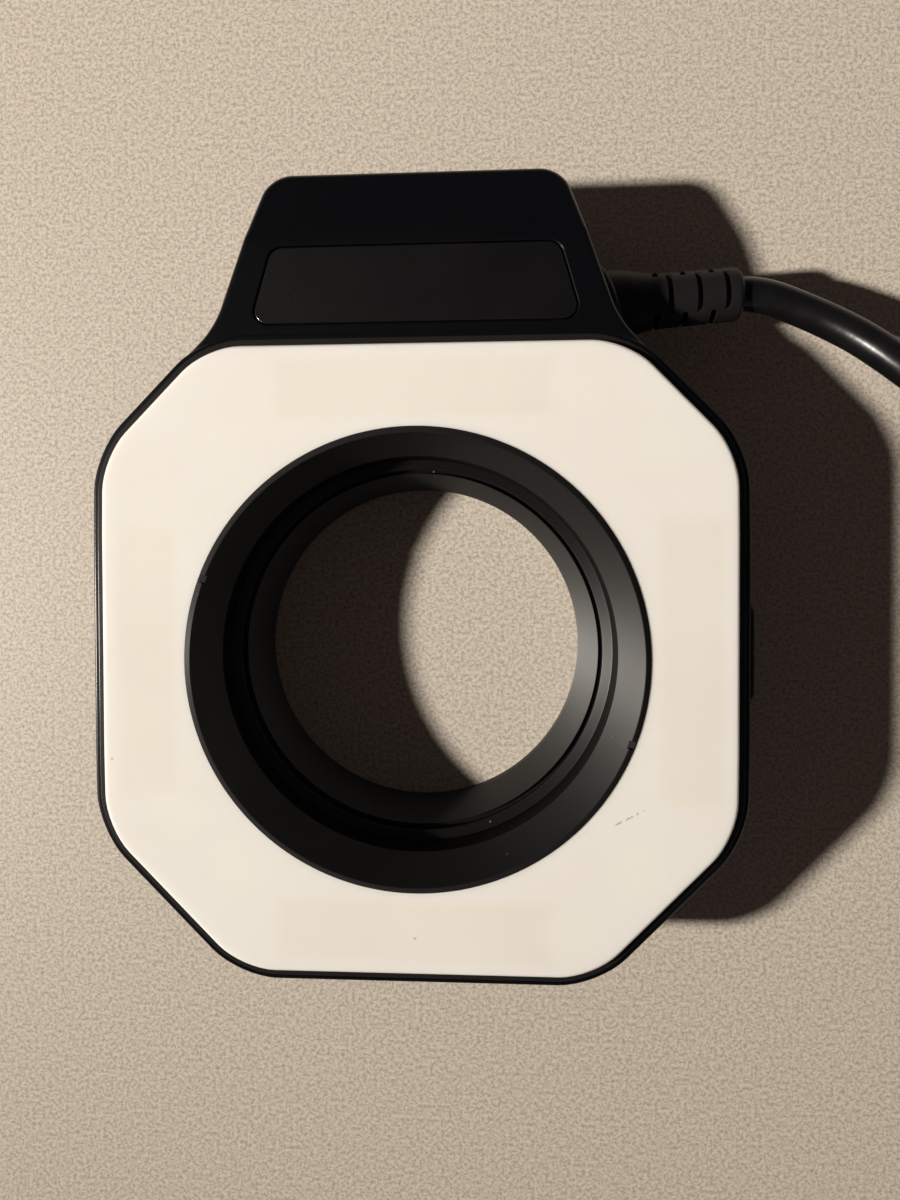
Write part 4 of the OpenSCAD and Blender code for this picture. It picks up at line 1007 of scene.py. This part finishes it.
# Cable tie
# A strap of black hook and loop tape round the coil's bundle, with rounded corners.
# Its free end is pressed down on top of it.
tie_inner, tie_outer, tie_low, tie_high = 26.95, 35.64, 0.85, 13.0
tie_corners = ((tie_inner, tie_low), (tie_outer, tie_low), (tie_outer, tie_high), (tie_inner, tie_high))
tie_width = 9
tie_thick = 0.8
flap_reach = 30.6
flap_size = (tie_width * mm, 6.2 * mm, 0.7 * mm)
tie = flat_sheet("cable_tie_strap", [(0, (coil_middle[1] - r) * mm, z * mm) for r, z in tie_corners])
ease_corner(lambda p: True, 2 * mm, 6)
bpy.ops.mesh.select_all(action="SELECT")
bpy.ops.mesh.delete(type="ONLY_FACE")
bpy.ops.mesh.select_all(action="SELECT")
bpy.ops.mesh.extrude_region_move(TRANSFORM_OT_translate={"value": (tie_width * mm, 0, 0)})
bpy.ops.mesh.select_all(action="SELECT")
bpy.ops.transform.translate(value=((coil_middle[0] - tie_width / 2) * mm, 0, 0))
bpy.ops.mesh.normals_make_consistent(inside=False)
bpy.ops.object.mode_set(mode="OBJECT")
strap = tie.modifiers.new("strap", "SOLIDIFY")
strap.thickness = tie_thick * mm
strap.offset = 1
bpy.ops.object.modifier_apply(modifier="strap")
flap_place = (coil_middle[0] * mm, (coil_middle[1] - flap_reach) * mm, (tie_high + 1.15) * mm)
tie = joined("cable_tie_strap", [tie, round_bar("flap", flap_place, flap_size, 1.8 * mm, 2)])
tape_finish, tree, shader = new_material("tie_black")
spot = spot_on(tree)
loops = place(tree, "TexVoronoi", Vector=spot, Scale=1600.0, Randomness=1.0).outputs["Distance"]
warp = place(tree, "TexWave", Vector=spot, Scale=420.0, Distortion=2.0, Detail=1.0).outputs["Fac"]
give(tree, shader, Base_Color=mixed(tree, loops, (0.007, 0.007, 0.0075, 1), (0.03, 0.03, 0.032, 1)),
     Roughness=stretched(tree, warp, 0.0, 1.0, 0.78, 0.95),
     Normal=bumped(tree, 0.6, 0.0002, sums(tree, "ADD", loops, warp)), Sheen_Weight=0.25)
finish_piece(tie, tape_finish, 40)
stands_for(tie, "tie_black", "cable_tie")

# Plug
# A round connector: a tapered rubber boot, a ridged plastic grip, and a nickel-plated shell
# with a six-pin insert. A knurled coupling ring turns freely on the shell.
plug_start = Vector((161.028, -32.431, 7.0)) * mm
plug_place = along_line(plug_start, Vector((0, -1, 0)))
plug_boot_profile = [(0, 0), (3.1, 0), (3.6, 0.5), (3.75, 1.6), (4.1, 2.0), (3.85, 2.5), (4.1, 3.8), (4.5, 4.3),
                     (4.25, 4.8), (4.55, 6.2), (4.95, 6.7), (4.7, 7.2), (5.0, 8.4), (5.4, 9.0), (5.4, 10), (0, 10)]
plug_shell_profile = [(0, 24), (4.9, 24), (4.9, 32.8), (4.5, 32.8), (4.5, 37.4), (4.1, 37.8), (3.6, 37.8),
                      (3.6, 27), (0, 27)]
plug_insert_profile = [(0, 27), (3.55, 27), (3.55, 34), (3.1, 34), (3.0, 33.8), (0, 33.8)]
pin_profile = [(0, 33.6), (0.4, 33.6), (0.4, 36.6), (0.15, 37), (0, 37)]
pin_count = 6
pin_circle = 2.1 * mm


def ridged(name, outer, depth, count, low, high, ease):
    """A round grip with lengthwise ridges, its ends bevelled."""
    rim = []
    for i in range(4 * count):
        radius = outer if i % 4 < 2 else outer - depth
        angle = 2 * math.pi * i / (4 * count)
        rim.append((radius * math.cos(angle) * mm, radius * math.sin(angle) * mm))
    piece = flat_sheet(name, rim, low * mm)
    raise_all((high - low) * mm)
    soften(lambda p: near(p.z, low * mm) or near(p.z, high * mm), ease * mm, 3)
    bpy.ops.object.mode_set(mode="OBJECT")
    return piece


plug_boot = turned("plug_boot_sleeve", plug_boot_profile, 48, 0.12)
plug_body = ridged("plug_grip", 6.9, 0.3, 26, 10, 24, 0.9)
plug_shell = turned("plug_shell_sleeve", plug_shell_profile, 64, 0.12)
plug_insert = turned("plug_insert_disc", plug_insert_profile, 48, 0.05, 1)
pins = []
for i in range(pin_count):
    pin = turned("pin", pin_profile, 16, 0.05, 1)
    pin.data.transform(turn_z(360 / pin_count * i) @ Matrix.Translation((pin_circle, 0, 0)))
    pins.append(pin)
plug_pins = joined("plug_pin_set", pins)
coupling = ridged("coupling_nut", 6.6, 0.35, 20, 24.3, 32.5, 0.35)
bore = cylinder("bore", (0, 0, 28 * mm), 4.96 * mm, 20 * mm, 64)
join_or_cut(coupling, bore, "DIFFERENCE")
grip_finish = moulded_plastic("plug_black", (0.016, 0.016, 0.017), 0.42)
nickel_finish = bare_metal("plug_nickel", (0.66, 0.64, 0.6), 0.2)
insert_finish = moulded_plastic("insert_black", (0.008, 0.008, 0.0085), 0.5)
gold_finish = bare_metal("pin_gold", (0.83, 0.6, 0.22), 0.22)
for piece, finish, slot, covered, body in (
        (plug_boot, rubber_finish, "boot_rubber", "plug_boot", "flash_head"),
        (plug_body, grip_finish, "plug_black", "plug_body", "flash_head"),
        (plug_shell, nickel_finish, "plug_nickel", "plug_shell", "flash_head"),
        (plug_insert, insert_finish, "insert_black", "plug_insert", "flash_head"),
        (plug_pins, gold_finish, "pin_gold", "plug_pins", "flash_head"),
        (coupling, nickel_finish, "plug_nickel", "coupling_ring", "coupling")):
    piece.data.transform(plug_place)
    finish_piece(piece, finish)
    stands_for(piece, slot, covered, body=body)
